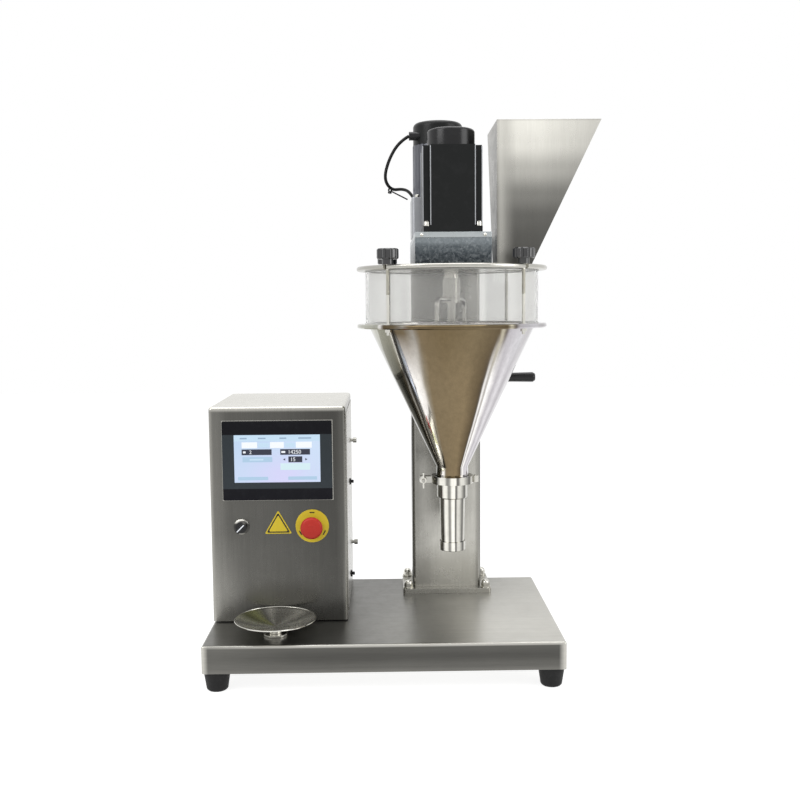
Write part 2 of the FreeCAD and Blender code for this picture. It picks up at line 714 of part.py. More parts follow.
def make_feet():
    feet = []
    for side in (-1, 1):
        for end in (-1, 1):
            feet.append(turned(f"foot_{len(feet)}", (
                ("0", "0"), ("foot_low_radius - 3", "0"), ("foot_low_radius", "3"),
                ("foot_top_radius", "foot_height - 3"), ("foot_top_radius", "foot_height"),
                ("foot_screw_radius", "foot_height"),
                ("foot_screw_radius", "foot_height + base_sheet + 5"),
                ("0", "foot_height + base_sheet + 5")),
                f"{side} * (base_width / 2 - foot_inset)", f"{end} * (base_depth / 2 - foot_inset)"))
    node("rubber_feet", group("rubber_feet", *feet))


# ---------------------------------------------------------------- column and lift


def make_column_foot_plate():
    plate = body("foot_plate")
    plan = outline(plate, "XY_Plane", "plate_plan", rectangle(
        "-plate_width / 2", "-plate_depth / 2", "plate_width / 2", "plate_depth / 2"))
    slab = pad(plate, plan, "plate_thick")
    round_edges(plate, slab, "bolt_inset / 2", upright)
    place(plate, "hopper_x", "column_front + column_depth / 2", "base_top")
    holes = [rod(f"plate_hole_{number}", "bolt_radius", "plate_thick", x, y, "base_top")
             for number, (x, y) in enumerate(column_bolt_places())]
    node("column_foot_plate", cut("column_foot_plate", plate, *holes))


def column_bolt_places():
    return [(f"hopper_x + {side} * (plate_width / 2 - bolt_inset)",
             f"column_front + column_depth / 2 + {end} * (plate_depth / 2 - bolt_inset)")
            for side in (-1, 1) for end in (-1, 1)]


def make_column_bolts():
    """Dome nuts on studs that are welded to the base."""
    bolts = []
    for number, (x, y) in enumerate(column_bolt_places()):
        name = f"bolt_{number}"
        stud = rod(f"{name}_stud", "bolt_radius", "plate_thick + washer_thick", x, y, "base_top")
        washer = rod(f"{name}_washer", "washer_radius", "washer_thick", x, y, "plate_top")
        flats = hexagon(f"{name}_flats", "dome_radius + 1", "dome_height / 2", x, y,
                        "plate_top + washer_thick")
        dome = turned(f"{name}_dome", (
            ("0", "0"), ("dome_radius", "0"), ("dome_radius", "dome_height * 0.62"),
            ("dome_radius * 0.8", "dome_height * 0.86"), ("dome_radius * 0.4", "dome_height"),
            ("0", "dome_height")), x, y, "plate_top + washer_thick")
        bolts.append(fuse(name, stud, washer, flats, dome))
    node("column_bolts", group("column_bolts", *bolts))


def make_column_tube():
    tube = body("column_outer")
    plan = outline(tube, "XY_Plane", "column_plan", rectangle(
        "-column_width / 2", "-column_depth / 2", "column_width / 2", "column_depth / 2"))
    skin = pad(tube, plan, "column_top - plate_top")
    round_edges(tube, skin, "column_round", upright)
    place(tube, "hopper_x", "column_front + column_depth / 2", "plate_top")
    bore = body("column_bore")
    inner = outline(bore, "XY_Plane", "column_inner_plan", rectangle(
        "column_wall - column_width / 2", "column_wall - column_depth / 2",
        "column_width / 2 - column_wall", "column_depth / 2 - column_wall"))
    hollow = pad(bore, inner, "column_top - plate_top")
    round_edges(bore, hollow, "column_round - column_wall", upright)
    place(bore, "hopper_x", "column_front + column_depth / 2", "plate_top")
    holes = rod("bush_holes", "bush_radius", "column_width", "column_left", "pinion_y",
                "pinion_height", "+x")
    node("column_tube", cut("column_tube", cut("column_walls", tube, bore), holes))


def post_passage(name, low, height):
    """The room that post and rack take through a nylon block."""
    post = block(f"{name}_post", "post_width + 2 * guide_fit", "post_depth + 2 * guide_fit", height,
                 "hopper_x - post_width / 2 - guide_fit", "post_front - guide_fit", low)
    rack = block(f"{name}_rack", "rack_width + 2 * guide_fit", "rack_body + tooth_tip + guide_fit",
                 height, "hopper_x - rack_width / 2 - guide_fit",
                 "pitch_line - tooth_tip - guide_fit", low)
    return post, rack


def make_column_guide():
    rim = block("guide_rim", "column_width", "column_depth", "guide_flange",
                "column_left", "column_front", "column_top")
    plug = block("guide_plug", "column_width - 2 * column_wall - 2 * guide_fit",
                 "column_depth - 2 * column_wall - 2 * guide_fit", "guide_depth",
                 "column_left + column_wall + guide_fit", "column_front + column_wall + guide_fit",
                 "column_top - guide_depth")
    whole = doc.addObject("Part::Fillet", "guide_rounded")
    whole.Base = fuse("guide_whole", rim, plug)
    doc.recompute()
    radius = {False: at.column_round - at.column_wall, True: at.column_round}
    whole.Edges = [(int(name[4:]), radius[high], radius[high]) for high in (False, True)
                   for name in edges_of(whole.Base, lambda edge, middle: upright(edge, middle)
                                        and (middle.z > at.column_top) == high)]
    passage = post_passage("guide_passage", "column_top - guide_depth", "guide_depth + guide_flange")
    node("column_guide", cut("column_guide", whole, *passage))


def make_shaft_bushings():
    bushes = []
    for side, face, along in ((0, "column_left", "+x"), (1, "column_right", "-x")):
        sign = 1 - 2 * side
        name = f"bush_{side}"
        flange_start = f"{face} - {sign} * bush_flange"
        flange = rod(f"{name}_flange", "bush_flange_radius", "bush_flange", flange_start,
                     "pinion_y", "pinion_height", along)
        barrel = rod(f"{name}_barrel", "bush_radius", "bush_length", face, "pinion_y",
                     "pinion_height", along)
        bore = rod(f"{name}_bore", "shaft_radius + shaft_fit", "bush_length + bush_flange",
                   flange_start, "pinion_y", "pinion_height", along)
        bushes.append(cut(name, fuse(f"{name}_body", flange, barrel), bore))
    node("shaft_bushings", group("shaft_bushings", *bushes))


def make_inner_post():
    outer = block("post_outer", "post_width", "post_depth", "head_low + head_sheet - shoe_low",
                  "hopper_x - post_width / 2", "post_front", "shoe_low")
    flange = block("post_top", "post_width + 2 * post_flange_side",
                   "post_depth + post_flange_side", "post_flange",
                   "hopper_x - post_width / 2 - post_flange_side", "post_front - post_flange_side",
                   "head_low + head_sheet")
    hollow = block("post_hollow", "post_width - 2 * post_wall", "post_depth - 2 * post_wall",
                   "head_low + head_sheet + post_flange - shoe_low",
                   "hopper_x - post_width / 2 + post_wall", "post_front + post_wall", "shoe_low")
    node("inner_post", cut("inner_post", fuse("post_body", outer, flange), hollow))


def make_lift_rack():
    """A rack of straight-flanked teeth, one of them level with the pinion axis at rest."""
    pitch = math.pi * at.gear_module
    slope = math.tan(math.radians(20))
    middle = pitch / 4 - at.tooth_play / 4
    tip = middle - at.tooth_tip * slope
    root = middle + at.tooth_root * slope
    points = [(at.rack_body, at.rack_top), (at.rack_body, at.rack_low), (at.tooth_root, at.rack_low)]
    number = math.ceil((at.rack_low - at.pinion_height + root) / pitch)
    while at.pinion_height + number * pitch + root < at.rack_top:
        level = at.pinion_height + number * pitch
        points += [(at.tooth_root, level - root), (-at.tooth_tip, level - tip),
                   (-at.tooth_tip, level + tip), (at.tooth_root, level + root)]
        number += 1
    points.append((at.tooth_root, at.rack_top))
    corners = [Vector(0, across, level) for across, level in points]
    face = Part.Face(Part.makePolygon(corners + corners[:1]))
    teeth = face.extrude(Vector(at.rack_width, 0, 0))
    node("lift_rack", shaped("lift_rack", teeth, "hopper_x - rack_width / 2", "pitch_line"))


def make_post_shoe():
    pad_block = block("shoe_block", "column_width - 2 * column_wall - 2 * guide_fit",
                      "column_depth - 2 * column_wall - 2 * guide_fit", "shoe_height",
                      "column_left + column_wall + guide_fit",
                      "column_front + column_wall + guide_fit", "shoe_low")
    shoe = doc.addObject("Part::Fillet", "shoe_rounded")
    shoe.Base = pad_block
    doc.recompute()
    radius = at.column_round - at.column_wall
    shoe.Edges = [(int(name[4:]), radius, radius) for name in edges_of(pad_block, upright)]
    post = block("shoe_passage", "post_width", "post_depth", "shoe_height",
                 "hopper_x - post_width / 2", "post_front", "shoe_low")
    node("post_shoe", cut("post_shoe", shoe, post))


def gear_outline():
    """Corners of the pinion: involute flanks at base, pitch and tip circle, a gap towards +Y."""
    teeth = round(at.pinion_teeth)
    base = at.pitch_radius * math.cos(math.radians(20))
    half = (math.pi * at.gear_module / 2 - at.tooth_play / 2) / (2 * at.pitch_radius)

    def lean(radius):
        angle = math.acos(min(1, base / radius))
        return math.tan(angle) - angle

    def flank(radius):
        return half + lean(at.pitch_radius) - lean(max(radius, base))

    steps = (at.pitch_radius - at.tooth_root, base, at.pitch_radius, at.pitch_radius + at.tooth_tip)
    corners = []
    for tooth in range(teeth):
        middle = math.pi / 2 + (tooth + 0.5) * 2 * math.pi / teeth
        rise = [(radius, middle - flank(radius)) for radius in steps]
        fall = [(radius, middle + flank(radius)) for radius in reversed(steps)]
        corners += [Vector(0, radius * math.sin(angle), -radius * math.cos(angle))
                    for radius, angle in rise + fall]
    return corners


def make_pinion_shaft():
    corners = gear_outline()
    face = Part.Face(Part.makePolygon(corners + corners[:1]))
    teeth = shaped("pinion_teeth", face.extrude(Vector(at.pinion_width, 0, 0)),
                   "hopper_x - pinion_width / 2", "pinion_y", "pinion_height")
    shaft = rod("crank_rod", "shaft_radius", "hub_end - column_left + bush_flange",
                "column_left - bush_flange", "pinion_y", "pinion_height", "+x")
    collar = rod("shaft_collar", "shaft_radius + 3", "6",
                 "column_left + bush_length + crank_gap", "pinion_y", "pinion_height", "+x")
    node("pinion_shaft", fuse("pinion_shaft", teeth, shaft, collar))


def make_crank_arm():
    hub = rod("crank_hub", "crank_hub_radius", "crank_hub_length", "hub_start", "pinion_y",
              "pinion_height", "+x")
    bar = block("crank_bar", "crank_bar_thick", "crank_bar_width", "crank_reach", "bar_start",
                "pinion_y - crank_bar_width / 2", "grip_height")
    end = rod("crank_end", "crank_bar_width / 2", "crank_bar_thick", "bar_start", "pinion_y",
              "grip_height", "+x")
    pin = rod("grip_pin", "grip_pin_radius", "crank_gap + grip_pin_length", "bar_end", "pinion_y",
              "grip_height", "+x")
    bore = rod("crank_bore", "shaft_radius", "crank_hub_length", "hub_start", "pinion_y",
               "pinion_height", "+x")
    node("crank_arm", cut("crank_arm", fuse("crank_body", hub, bar, end, pin), bore))


def make_crank_grip():
    owner = turned("grip_body", (
        ("grip_pin_radius + pin_fit", "0"), ("grip_radius - 1.5", "0"), ("grip_radius", "1.5"),
        ("grip_radius - 0.8", "grip_length * 0.5"), ("grip_radius", "grip_length - 5"),
        ("grip_radius - 3", "grip_length"), ("0", "grip_length"),
        ("0", "grip_pin_length + 0.5"), ("grip_pin_radius + pin_fit", "grip_pin_length + 0.5")))
    owner.Placement = Placement(Vector(), TURNS["+x"])
    node("crank_grip", place(owner, "grip_start", "pinion_y", "grip_height"))


# ---------------------------------------------------------------- head box and drives


def make_head_box():
    outer = block("head_outer", "head_width", "head_back - head_front", "head_height",
                  "head_left", "head_front", "head_low")
    hollow = block("head_hollow", "head_width - 2 * head_sheet",
                   "head_back - head_front - 2 * head_sheet", "head_height - head_sheet",
                   "head_left + head_sheet", "head_front + head_sheet", "head_low + head_sheet")
    housing = rod("head_housing_hole", "housing_radius + seat_gap", "head_sheet", "hopper_x",
                  "hopper_y", "head_low")
    post = block("head_post_hole", "post_width", "post_depth", "head_sheet",
                 "hopper_x - post_width / 2", "post_front", "head_low")
    node("head_box", cut("head_box", outer, hollow, housing, post))


def make_motor_plate():
    plate = block("plate_slab", "head_width", "head_back - head_front", "motor_plate_thick",
                  "head_left", "head_front", "plate_low")
    servo = rod("plate_servo_hole", "servo_shaft_radius + 8", "motor_plate_thick", "hopper_x",
                "hopper_y", "plate_low")
    stir = rod("plate_stir_hole", "stir_shaft_radius + 8", "motor_plate_thick", "hopper_x",
               "stir_y", "plate_low")
    node("motor_plate", cut("motor_plate", plate, servo, stir))


def make_servo_body():
    frame = body("servo_frame")
    square = outline(frame, "XY_Plane", "servo_square", rectangle(
        "-servo_side / 2", "-servo_side / 2", "servo_side / 2", "servo_side / 2"))
    pad(frame, square, "servo_length")
    corner = outline(frame, "XY_Plane", "servo_corner", rectangle(
        "servo_side / 2 - servo_notch", "servo_side / 2 - servo_notch",
        "servo_side / 2 + 1", "servo_side / 2 + 1"), "servo_length")
    notch = pocket(frame, corner, "servo_length - servo_flange")
    repeat_round(frame, notch, "4")
    place(frame, "hopper_x", "hopper_y", "drive_level")
    screws = []
    for side in (-1, 1):
        for end in (-1, 1):
            screws.append(rod(f"servo_screw_{len(screws)}", "servo_notch / 2 - 1", "servo_screw_height",
                              f"hopper_x + {side} * (servo_side / 2 - servo_notch / 2)",
                              f"hopper_y + {end} * (servo_side / 2 - servo_notch / 2)",
                              "drive_level + servo_flange"))
    node("servo_body", fuse("servo_body", frame, *screws))


def make_servo_cap():
    node("servo_cap", turned("servo_cap", (
        ("0", "0"), ("servo_cap_radius", "0"), ("servo_cap_radius", "servo_cap_height - 5"),
        ("servo_cap_radius - 2", "servo_cap_height - 1.5"), ("servo_cap_radius - 6", "servo_cap_height"),
        ("0", "servo_cap_height")), "hopper_x", "hopper_y", "servo_top"))


def make_servo_shaft():
    node("servo_shaft", rod("servo_shaft", "servo_shaft_radius",
                            "servo_shaft_length", "hopper_x",
                            "hopper_y", "drive_level - servo_shaft_length"))


def make_stir_gearhead():
    case = body("gear_case")
    square = outline(case, "XY_Plane", "gear_square", rectangle(
        "-gearhead_side / 2", "-gearhead_side / 2", "gearhead_side / 2", "gearhead_side / 2"))
    block_pad = pad(case, square, "gearhead_height")
    round_edges(case, block_pad, "gearhead_round", upright)
    place(case, "stir_x", "stir_y", "drive_level")
    node("stir_gearhead", case)


def toothed_ring(teeth, outer, depth, width, share=0.5):
    """A disc with straight grooves round its rim, its axis along Z."""
    step = 2 * math.pi / teeth
    corners = []
    for tooth in range(round(teeth)):
        for radius, part in ((outer, 0), (outer, share), (outer - depth, share + 0.12),
                             (outer - depth, 0.88)):
            angle = (tooth + part) * step
            corners.append(Vector(radius * math.cos(angle), radius * math.sin(angle), 0))
    face = Part.Face(Part.makePolygon(corners + corners[:1]))
    return face.extrude(Vector(0, 0, width))


def make_stir_motor_body():
    ribs = toothed_ring(at.stir_fins, at.stir_body_radius, at.fin_depth, at.stir_body_height)
    node("stir_motor_body", shaped("stir_motor_body", ribs, "stir_x", "stir_y", "gearhead_top"))


def make_stir_fan_cover():
    cover = turned("fan_cover_body", (
        ("0", "0"), ("fan_cover_radius", "0"), ("fan_cover_radius", "fan_cover_height"),
        ("0", "fan_cover_height")), "stir_x", "stir_y", "stir_body_top")
    doc.recompute()
    turn = cover.Tip
    round_edges(cover, turn, "fan_cover_round",
                lambda edge, middle: middle.z > at.fan_cover_height - 0.01
                and edge.BoundBox.XLength > at.fan_cover_radius)
    node("stir_fan_cover", cover)


def pulley_shape(teeth, rim):
    """A timing pulley with a flange on each side."""
    flange = Part.makeCylinder(rim + at.pulley_lip, at.pulley_flange)
    top = flange.translated(Vector(0, 0, at.pulley_flange + at.pulley_face))
    rim_teeth = toothed_ring(teeth, rim, 1.3, at.pulley_face)
    rim_teeth.translate(Vector(0, 0, at.pulley_flange))
    return flange.fuse([rim_teeth, top]).removeSplitter()


def make_pulleys():
    drive = shaped("drive_rim", pulley_shape(at.drive_teeth, at.drive_radius), "hopper_x", "stir_y",
                   "pulley_start")
    drive_bore = rod("drive_bore", "stir_shaft_radius", "pulley_face + 2 * pulley_flange",
                     "hopper_x", "stir_y", "pulley_start")
    node("drive_pulley", cut("drive_pulley", drive, drive_bore))
    driven = shaped("driven_rim", pulley_shape(at.driven_teeth, at.driven_radius), "hopper_x",
                    "hopper_y", "pulley_start")
    driven_bore = rod("driven_bore", "quill_radius", "pulley_face + 2 * pulley_flange",
                      "hopper_x", "hopper_y", "pulley_start")
    node("driven_pulley", cut("driven_pulley", driven, driven_bore))
    node("stir_shaft", rod("stir_shaft", "stir_shaft_radius", "drive_level - pulley_start",
                           "hopper_x", "stir_y", "pulley_start"))


def belt_loop(extra, width):
    """The solid inside a belt run round both pulleys, wider than their teeth by extra."""
    span = at.stir_y - at.hopper_y
    front = at.driven_radius + extra
    back = at.drive_radius + extra
    tilt = math.asin((front - back) / span)
    cosine, sine = math.cos(tilt), math.sin(tilt)
    points = [Vector(front * cosine, front * sine, 0), Vector(back * cosine, span + back * sine, 0),
              Vector(-back * cosine, span + back * sine, 0), Vector(-front * cosine, front * sine, 0)]
    edges = [Part.LineSegment(points[0], points[1]).toShape(),
             Part.Arc(points[1], Vector(0, span + back, 0), points[2]).toShape(),
             Part.LineSegment(points[2], points[3]).toShape(),
             Part.Arc(points[3], Vector(0, -front, 0), points[0]).toShape()]
    return Part.Face(Part.Wire(edges)).extrude(Vector(0, 0, width))


def make_timing_belt():
    outer = belt_loop(at.belt_room + at.belt_thick, at.belt_width)
    belt = outer.cut(belt_loop(at.belt_room, at.belt_width))
    node("timing_belt", shaped("timing_belt", belt, "hopper_x", "hopper_y",
                               "pulley_start + pulley_flange + pulley_side"))


# ---------------------------------------------------------------- lid, quill, agitator and auger


def make_lid_plate():
    disc = turned("lid_disc", (
        ("seal_radius", "0"), ("lid_radius - lid_round", "0"), ("lid_radius", "lid_round"),
        ("lid_radius", "lid_thick - lid_round"), ("lid_radius - lid_round", "lid_thick"),
        ("seal_radius", "lid_thick")), "hopper_x", "hopper_y", "lid_low")
    mouth = block("lid_mouth", "chute_mouth - 2 * chute_wall", "chute_foot_depth - 2 * chute_wall",
                  "lid_thick", "chute_x + chute_wall", "chute_y + chute_wall", "lid_low")
    slots = []
    for number in range(4):
        slot = doc.addObject("Part::Box", f"lid_slot_{number}")
        bind(slot, Length="lid_radius", Width="2 * (rod_radius + slot_play)", Height="lid_thick")
        angle = 45 + 90 * number
        turn = Rotation(Vector(0, 0, 1), angle)
        slot.Placement = Placement(Vector(), turn)
        cosine, sine = round(math.cos(math.radians(angle)), 9), round(math.sin(math.radians(angle)), 9)
        inner = "(rod_circle - rod_radius - slot_play)"
        half = "(rod_radius + slot_play)"
        place(slot, f"hopper_x + {cosine} * {inner} + {sine} * {half}",
              f"hopper_y + {sine} * {inner} - {cosine} * {half}", "lid_low")
        slots.append(slot)
    node("lid_plate", cut("lid_plate", disc, mouth, *slots))


def make_bearing():
    node("bearing_housing", turned("bearing_housing", (
        ("quill_radius + 2", "0"), ("housing_radius", "0"), ("housing_radius", "housing_height"),
        ("bearing_radius", "housing_height"), ("bearing_radius", "housing_lip"),
        ("quill_radius + 2", "housing_lip")), "hopper_x", "hopper_y", "head_low"))
    node("quill_bearing", ring("quill_bearing", "bearing_radius", "quill_radius + shaft_fit",
                               "bearing_height", "hopper_x", "hopper_y", "head_low + housing_lip"))


def make_agitator_quill():
    node("agitator_quill", ring("agitator_quill", "quill_radius", "quill_bore",
                                "quill_top - quill_low", "hopper_x", "hopper_y", "quill_low"))


def agitator_arms():
    """One bent rod on each side: out from the sleeve, down inside the clear cylinder and the cone."""
    level = at.sleeve_low + at.arm_rise
    arms = []
    for side in (-1, 1):
        arms.append(bent_rod([
            (side * (at.clamp_sleeve_radius - 2), 0, level),
            (side * at.arm_top_reach, 0, level),
            (side * at.arm_top_reach, 0, at.flange_top - at.arm_bend),
            (side * at.arm_low_reach, 0, at.arm_low)], at.arm_radius, at.arm_bend))
    return arms


def make_agitator_frame():
    sleeve = Part.makeCylinder(at.clamp_sleeve_radius, at.clamp_sleeve_height,
                               Vector(0, 0, at.sleeve_low))
    screws = [Part.makeCylinder(at.set_screw_radius, at.set_screw_length + 3,
                                Vector(0, 3 - at.clamp_sleeve_radius, at.sleeve_low + height),
                                Vector(0, -1, 0))
              for height in (at.set_screw_low, at.set_screw_low + at.set_screw_step)]
    bore = Part.makeCylinder(at.quill_radius, at.quill_drop, Vector(0, 0, at.quill_low))
    passage = Part.makeCylinder(at.auger_shaft_radius + at.sleeve_play, at.sleeve_drop,
                                Vector(0, 0, at.sleeve_low))
    frame = sleeve.fuse(screws).cut([bore, passage])
    arms = agitator_arms()
    for arm in arms:
        arm.rotate(Vector(), Vector(0, 0, 1), at.arm_turn)
    node("agitator_frame", shaped("agitator_frame", frame.fuse(arms), "hopper_x", "hopper_y"))


def auger_flight():
    """A ribbon on a helix round the core, its ends cut square to the axis."""
    height = at.auger_pitch * at.auger_turns
    helix = Part.makeHelix(at.auger_pitch, height, at.auger_shaft_radius)
    low = -at.auger_blade / 2
    inner = at.auger_shaft_radius - 1
    corners = [Vector(inner, 0, low), Vector(at.auger_radius, 0, low),
               Vector(at.auger_radius, 0, -low), Vector(inner, 0, -low)]
    section = Part.makePolygon(corners + corners[:1])
    ribbon = helix.makePipeShell([section], True, True)
    return ribbon.translated(Vector(0, 0, at.auger_low + at.auger_blade))


def make_auger_screw():
    core = Part.makeCylinder(at.auger_shaft_radius, at.quill_low - at.auger_low + 1,
                             Vector(0, 0, at.auger_low))
    socket = Part.makeCylinder(at.socket_radius, at.head_low + at.socket_top - at.quill_low,
                               Vector(0, 0, at.quill_low))
    bore = Part.makeCylinder(at.servo_shaft_radius, at.servo_shaft_length,
                             Vector(0, 0, at.drive_level - at.servo_shaft_length))
    screw = core.fuse([socket, auger_flight()]).cut(bore)
    node("auger_screw", shaped("auger_screw", screw, "hopper_x", "hopper_y"))


# ---------------------------------------------------------------- hopper and outlet


def make_clear_cylinder():
    node("clear_cylinder", ring("clear_cylinder", "cylinder_radius", "cylinder_radius - cylinder_wall",
                                "cylinder_height - 2 * seal_thick", "hopper_x", "hopper_y",
                                "flange_top + seal_thick"))


def make_hopper_gaskets():
    low = ring("low_seal", "cylinder_radius + 1", "cylinder_radius - cylinder_wall - 1", "seal_thick",
               "hopper_x", "hopper_y", "flange_top")
    high = ring("high_seal", "cylinder_radius + 1", "cylinder_radius - cylinder_wall - 1",
                "seal_thick", "hopper_x", "hopper_y", "lid_low - seal_thick")
    shaft = ring("shaft_seal", "seal_radius", "quill_radius + shaft_fit", "lid_thick",
                 "hopper_x", "hopper_y", "lid_low")
    joint = ring("joint_seal", "ferrule_radius", "neck_radius - cone_wall", "ferrule_seal",
                 "hopper_x", "hopper_y", "joint_height - ferrule_seal / 2")
    node("hopper_gaskets", group("hopper_gaskets", low, high, shaft, joint))


def make_hopper_cone():
    shell = turned("hopper_shell", (
        ("cone_radius - cone_wall", "flange_top"), ("lid_radius - lid_round", "flange_top"),
        ("lid_radius", "flange_top - lid_round"), ("lid_radius", "flange_low + lid_round"),
        ("lid_radius - lid_round", "flange_low"), ("cone_radius", "flange_low"),
        ("neck_radius", "neck_top"), ("neck_radius", "joint_height + ferrule_seal / 2 + ferrule_thick"),
        ("ferrule_radius", "joint_height + ferrule_seal / 2 + ferrule_thick"),
        ("ferrule_radius", "joint_height + ferrule_seal / 2"),
        ("neck_radius - cone_wall", "joint_height + ferrule_seal / 2"),
        ("neck_radius - cone_wall", "neck_top"),
        ("cone_radius - cone_wall", "flange_low")), "hopper_x", "hopper_y")
    holes = []
    for number in range(4):
        turn = math.radians(45 + 90 * number)
        across, along = round(math.cos(turn), 9), round(math.sin(turn), 9)
        holes.append(rod(f"flange_hole_{number}", "rod_radius", "lid_thick",
                         f"hopper_x + {across} * rod_circle", f"hopper_y + {along} * rod_circle",
                         "flange_low"))
    node("hopper_cone", cut("hopper_cone", shell, *holes))


def make_tie_rods_and_knobs():
    rods = []
    for number in range(4):
        turn = math.radians(45 + 90 * number)
        x = f"hopper_x + {round(math.cos(turn), 9)} * rod_circle"
        y = f"hopper_y + {round(math.sin(turn), 9)} * rod_circle"
        bar = rod(f"rod_{number}_bar", "rod_radius",
                  "head_low + seat_gap + knob_hub_height + knob_height / 2 - flange_low + rod_tail",
                  x, y, "flange_low - rod_tail")
        nut = hexagon(f"rod_{number}_nut", "nut_radius", "nut_height", x, y,
                      "flange_low - nut_height")
        rods.append(fuse(f"rod_{number}", bar, nut))
        make_star_knob(number, x, y)
    node("tie_rods", group("tie_rods", *rods))


def make_star_knob(number, x, y):
    name = f"star_knob_{number + 1}"
    knob = turned(name, (
        ("rod_radius + pin_fit", "0"), ("knob_hub_radius", "0"), ("knob_hub_radius", "knob_hub_height"),
        ("knob_radius - 2", "knob_hub_height"), ("knob_radius", "knob_hub_height + 2"),
        ("knob_radius", "knob_hub_height + knob_height - 2"),
        ("knob_radius - 2", "knob_hub_height + knob_height"), ("0", "knob_hub_height + knob_height"),
        ("0", "knob_hub_height + knob_height / 2 + 1"),
        ("rod_radius + pin_fit", "knob_hub_height + knob_height / 2 + 1")),
        x, y, "head_low + seat_gap")
    flute = circle(knob, "XY_Plane", f"{name}_flute", "knob_radius + flute_radius / 2", "0",
                   "flute_radius", "knob_hub_height + knob_height")
    repeat_round(knob, pocket(knob, flute, "knob_height"), "knob_flutes")
    node(name, knob)


def make_inlet_chute():
    """A folded hopper: left and front walls upright, right and back walls sloping out."""
    chute = body("inlet_chute")
    foot = outline(chute, "XY_Plane", "chute_foot", rectangle(
        "0", "0", "chute_mouth", "chute_foot_depth"))
    rim = outline(chute, "XY_Plane", "chute_rim", rectangle(
        "0", "0", "chute_top_width", "chute_top_depth"), "chute_height")
    outside = chute.newObject("PartDesign::AdditiveLoft", "chute_outside")
    outside.Profile = foot
    outside.Sections = [rim]
    outside.Ruled = True
    foot_hole = outline(chute, "XY_Plane", "chute_foot_hole", rectangle(
        "chute_wall", "chute_wall", "chute_mouth - chute_wall", "chute_foot_depth - chute_wall"))
    rim_hole = outline(chute, "XY_Plane", "chute_rim_hole", rectangle(
        "chute_wall", "chute_wall", "chute_top_width - chute_wall", "chute_top_depth - chute_wall"),
        "chute_height")
    inside = chute.newObject("PartDesign::SubtractiveLoft", "chute_inside")
    inside.Profile = foot_hole
    inside.Sections = [rim_hole]
    inside.Ruled = True
    node("inlet_chute", place(chute, "chute_x", "chute_y", "head_low"))


def make_clamp_ring():
    """Two half rings over the ferrules, hinged at the right and drawn together at the left."""
    groove = "ferrule_thick + ferrule_seal / 2 + seat_gap"
    hoop = turned("clamp_hoop", (
        ("neck_radius + clamp_lip", "-clamp_half_height"), ("clamp_radius", "-clamp_half_height"),
        ("clamp_radius", "clamp_half_height"), ("neck_radius + clamp_lip", "clamp_half_height"),
        ("neck_radius + clamp_lip", groove), ("ferrule_radius + clamp_play", groove),
        ("ferrule_radius + clamp_play", f"-({groove})"), ("neck_radius + clamp_lip", f"-({groove})")),
        "hopper_x", "hopper_y", "joint_height")
    lug = block("clamp_lug", "clamp_bolt_reach + clamp_lug_end - clamp_radius + clamp_lug_bite",
                "2 * clamp_lug_half", "clamp_lug_height", "clamp_bolt_x - clamp_lug_end",
                "hopper_y - clamp_lug_half", "clamp_lug_low")
    knuckle = rod("clamp_knuckle", "clamp_knuckle_radius", "clamp_lug_height", "clamp_hinge_x",
                  "hopper_y", "clamp_lug_low")
    web = block("clamp_web", "clamp_web_side", "clamp_web_side", "clamp_lug_height",
                "clamp_hinge_x - clamp_knuckle_radius", "hopper_y - clamp_web_side / 2", "clamp_lug_low")
    split = block("clamp_split_gap", "4 * clamp_radius", "clamp_split", "4 * clamp_half_height",
                  "hopper_x - 2 * clamp_radius", "hopper_y - clamp_split / 2",
                  "joint_height - 2 * clamp_half_height")
    bolt_start = "hopper_y + clamp_lug_half"
    bolt_hole = rod("clamp_bolt_hole", "clamp_bolt_radius", "2 * clamp_lug_half", "clamp_bolt_x",
                    bolt_start, "joint_height", "-y")
    pin_hole = rod("clamp_pin_hole", "clamp_pin_radius", "clamp_lug_height", "clamp_hinge_x",
                   "hopper_y", "clamp_lug_low")
    halves = cut("clamp_halves", fuse("clamp_body", hoop, lug, knuckle, web), split, bolt_hole,
                 pin_hole)
    bolt = rod("clamp_bolt_rod", "clamp_bolt_radius", "clamp_bolt_length - clamp_head_height",
               "clamp_bolt_x", bolt_start, "joint_height", "-y")
    head = hexagon("clamp_bolt_head", "clamp_head_radius", "clamp_head_height", "clamp_bolt_x",
                   bolt_start, "joint_height", "+y")
    pin = rod("clamp_pin", "clamp_pin_radius", "2 * clamp_half_height", "clamp_hinge_x",
              "hopper_y", "joint_height - clamp_half_height")
    node("clamp_ring", group("clamp_ring", halves, fuse("clamp_bolt", bolt, head), pin))


def make_wing_nut():
    start = "hopper_y - clamp_lug_half - seat_gap"
    hub = taper("wing_hub", "wing_hub_radius", "wing_hub_radius - 1.5", "wing_hub_length",
                "clamp_bolt_x", start, "joint_height", "-y")
    wings = []
    for side in (-1, 1):
        wings.append(block(f"wing_{side + 1}", "wing_thick", "wing_depth", "wing_span / 2 - wing_root",
                           "clamp_bolt_x - wing_thick / 2", f"{start} - wing_depth - 1.5",
                           f"joint_height + {side} * (wing_span / 2 + wing_root) / 2 "
                           f"- (wing_span / 2 - wing_root) / 2"))
    bore = rod("wing_bore", "clamp_bolt_radius + pin_fit", "wing_hub_length + 2", "clamp_bolt_x",
               start, "joint_height", "-y")
    node("wing_nut", cut("wing_nut", fuse("wing_body", hub, *wings), bore))


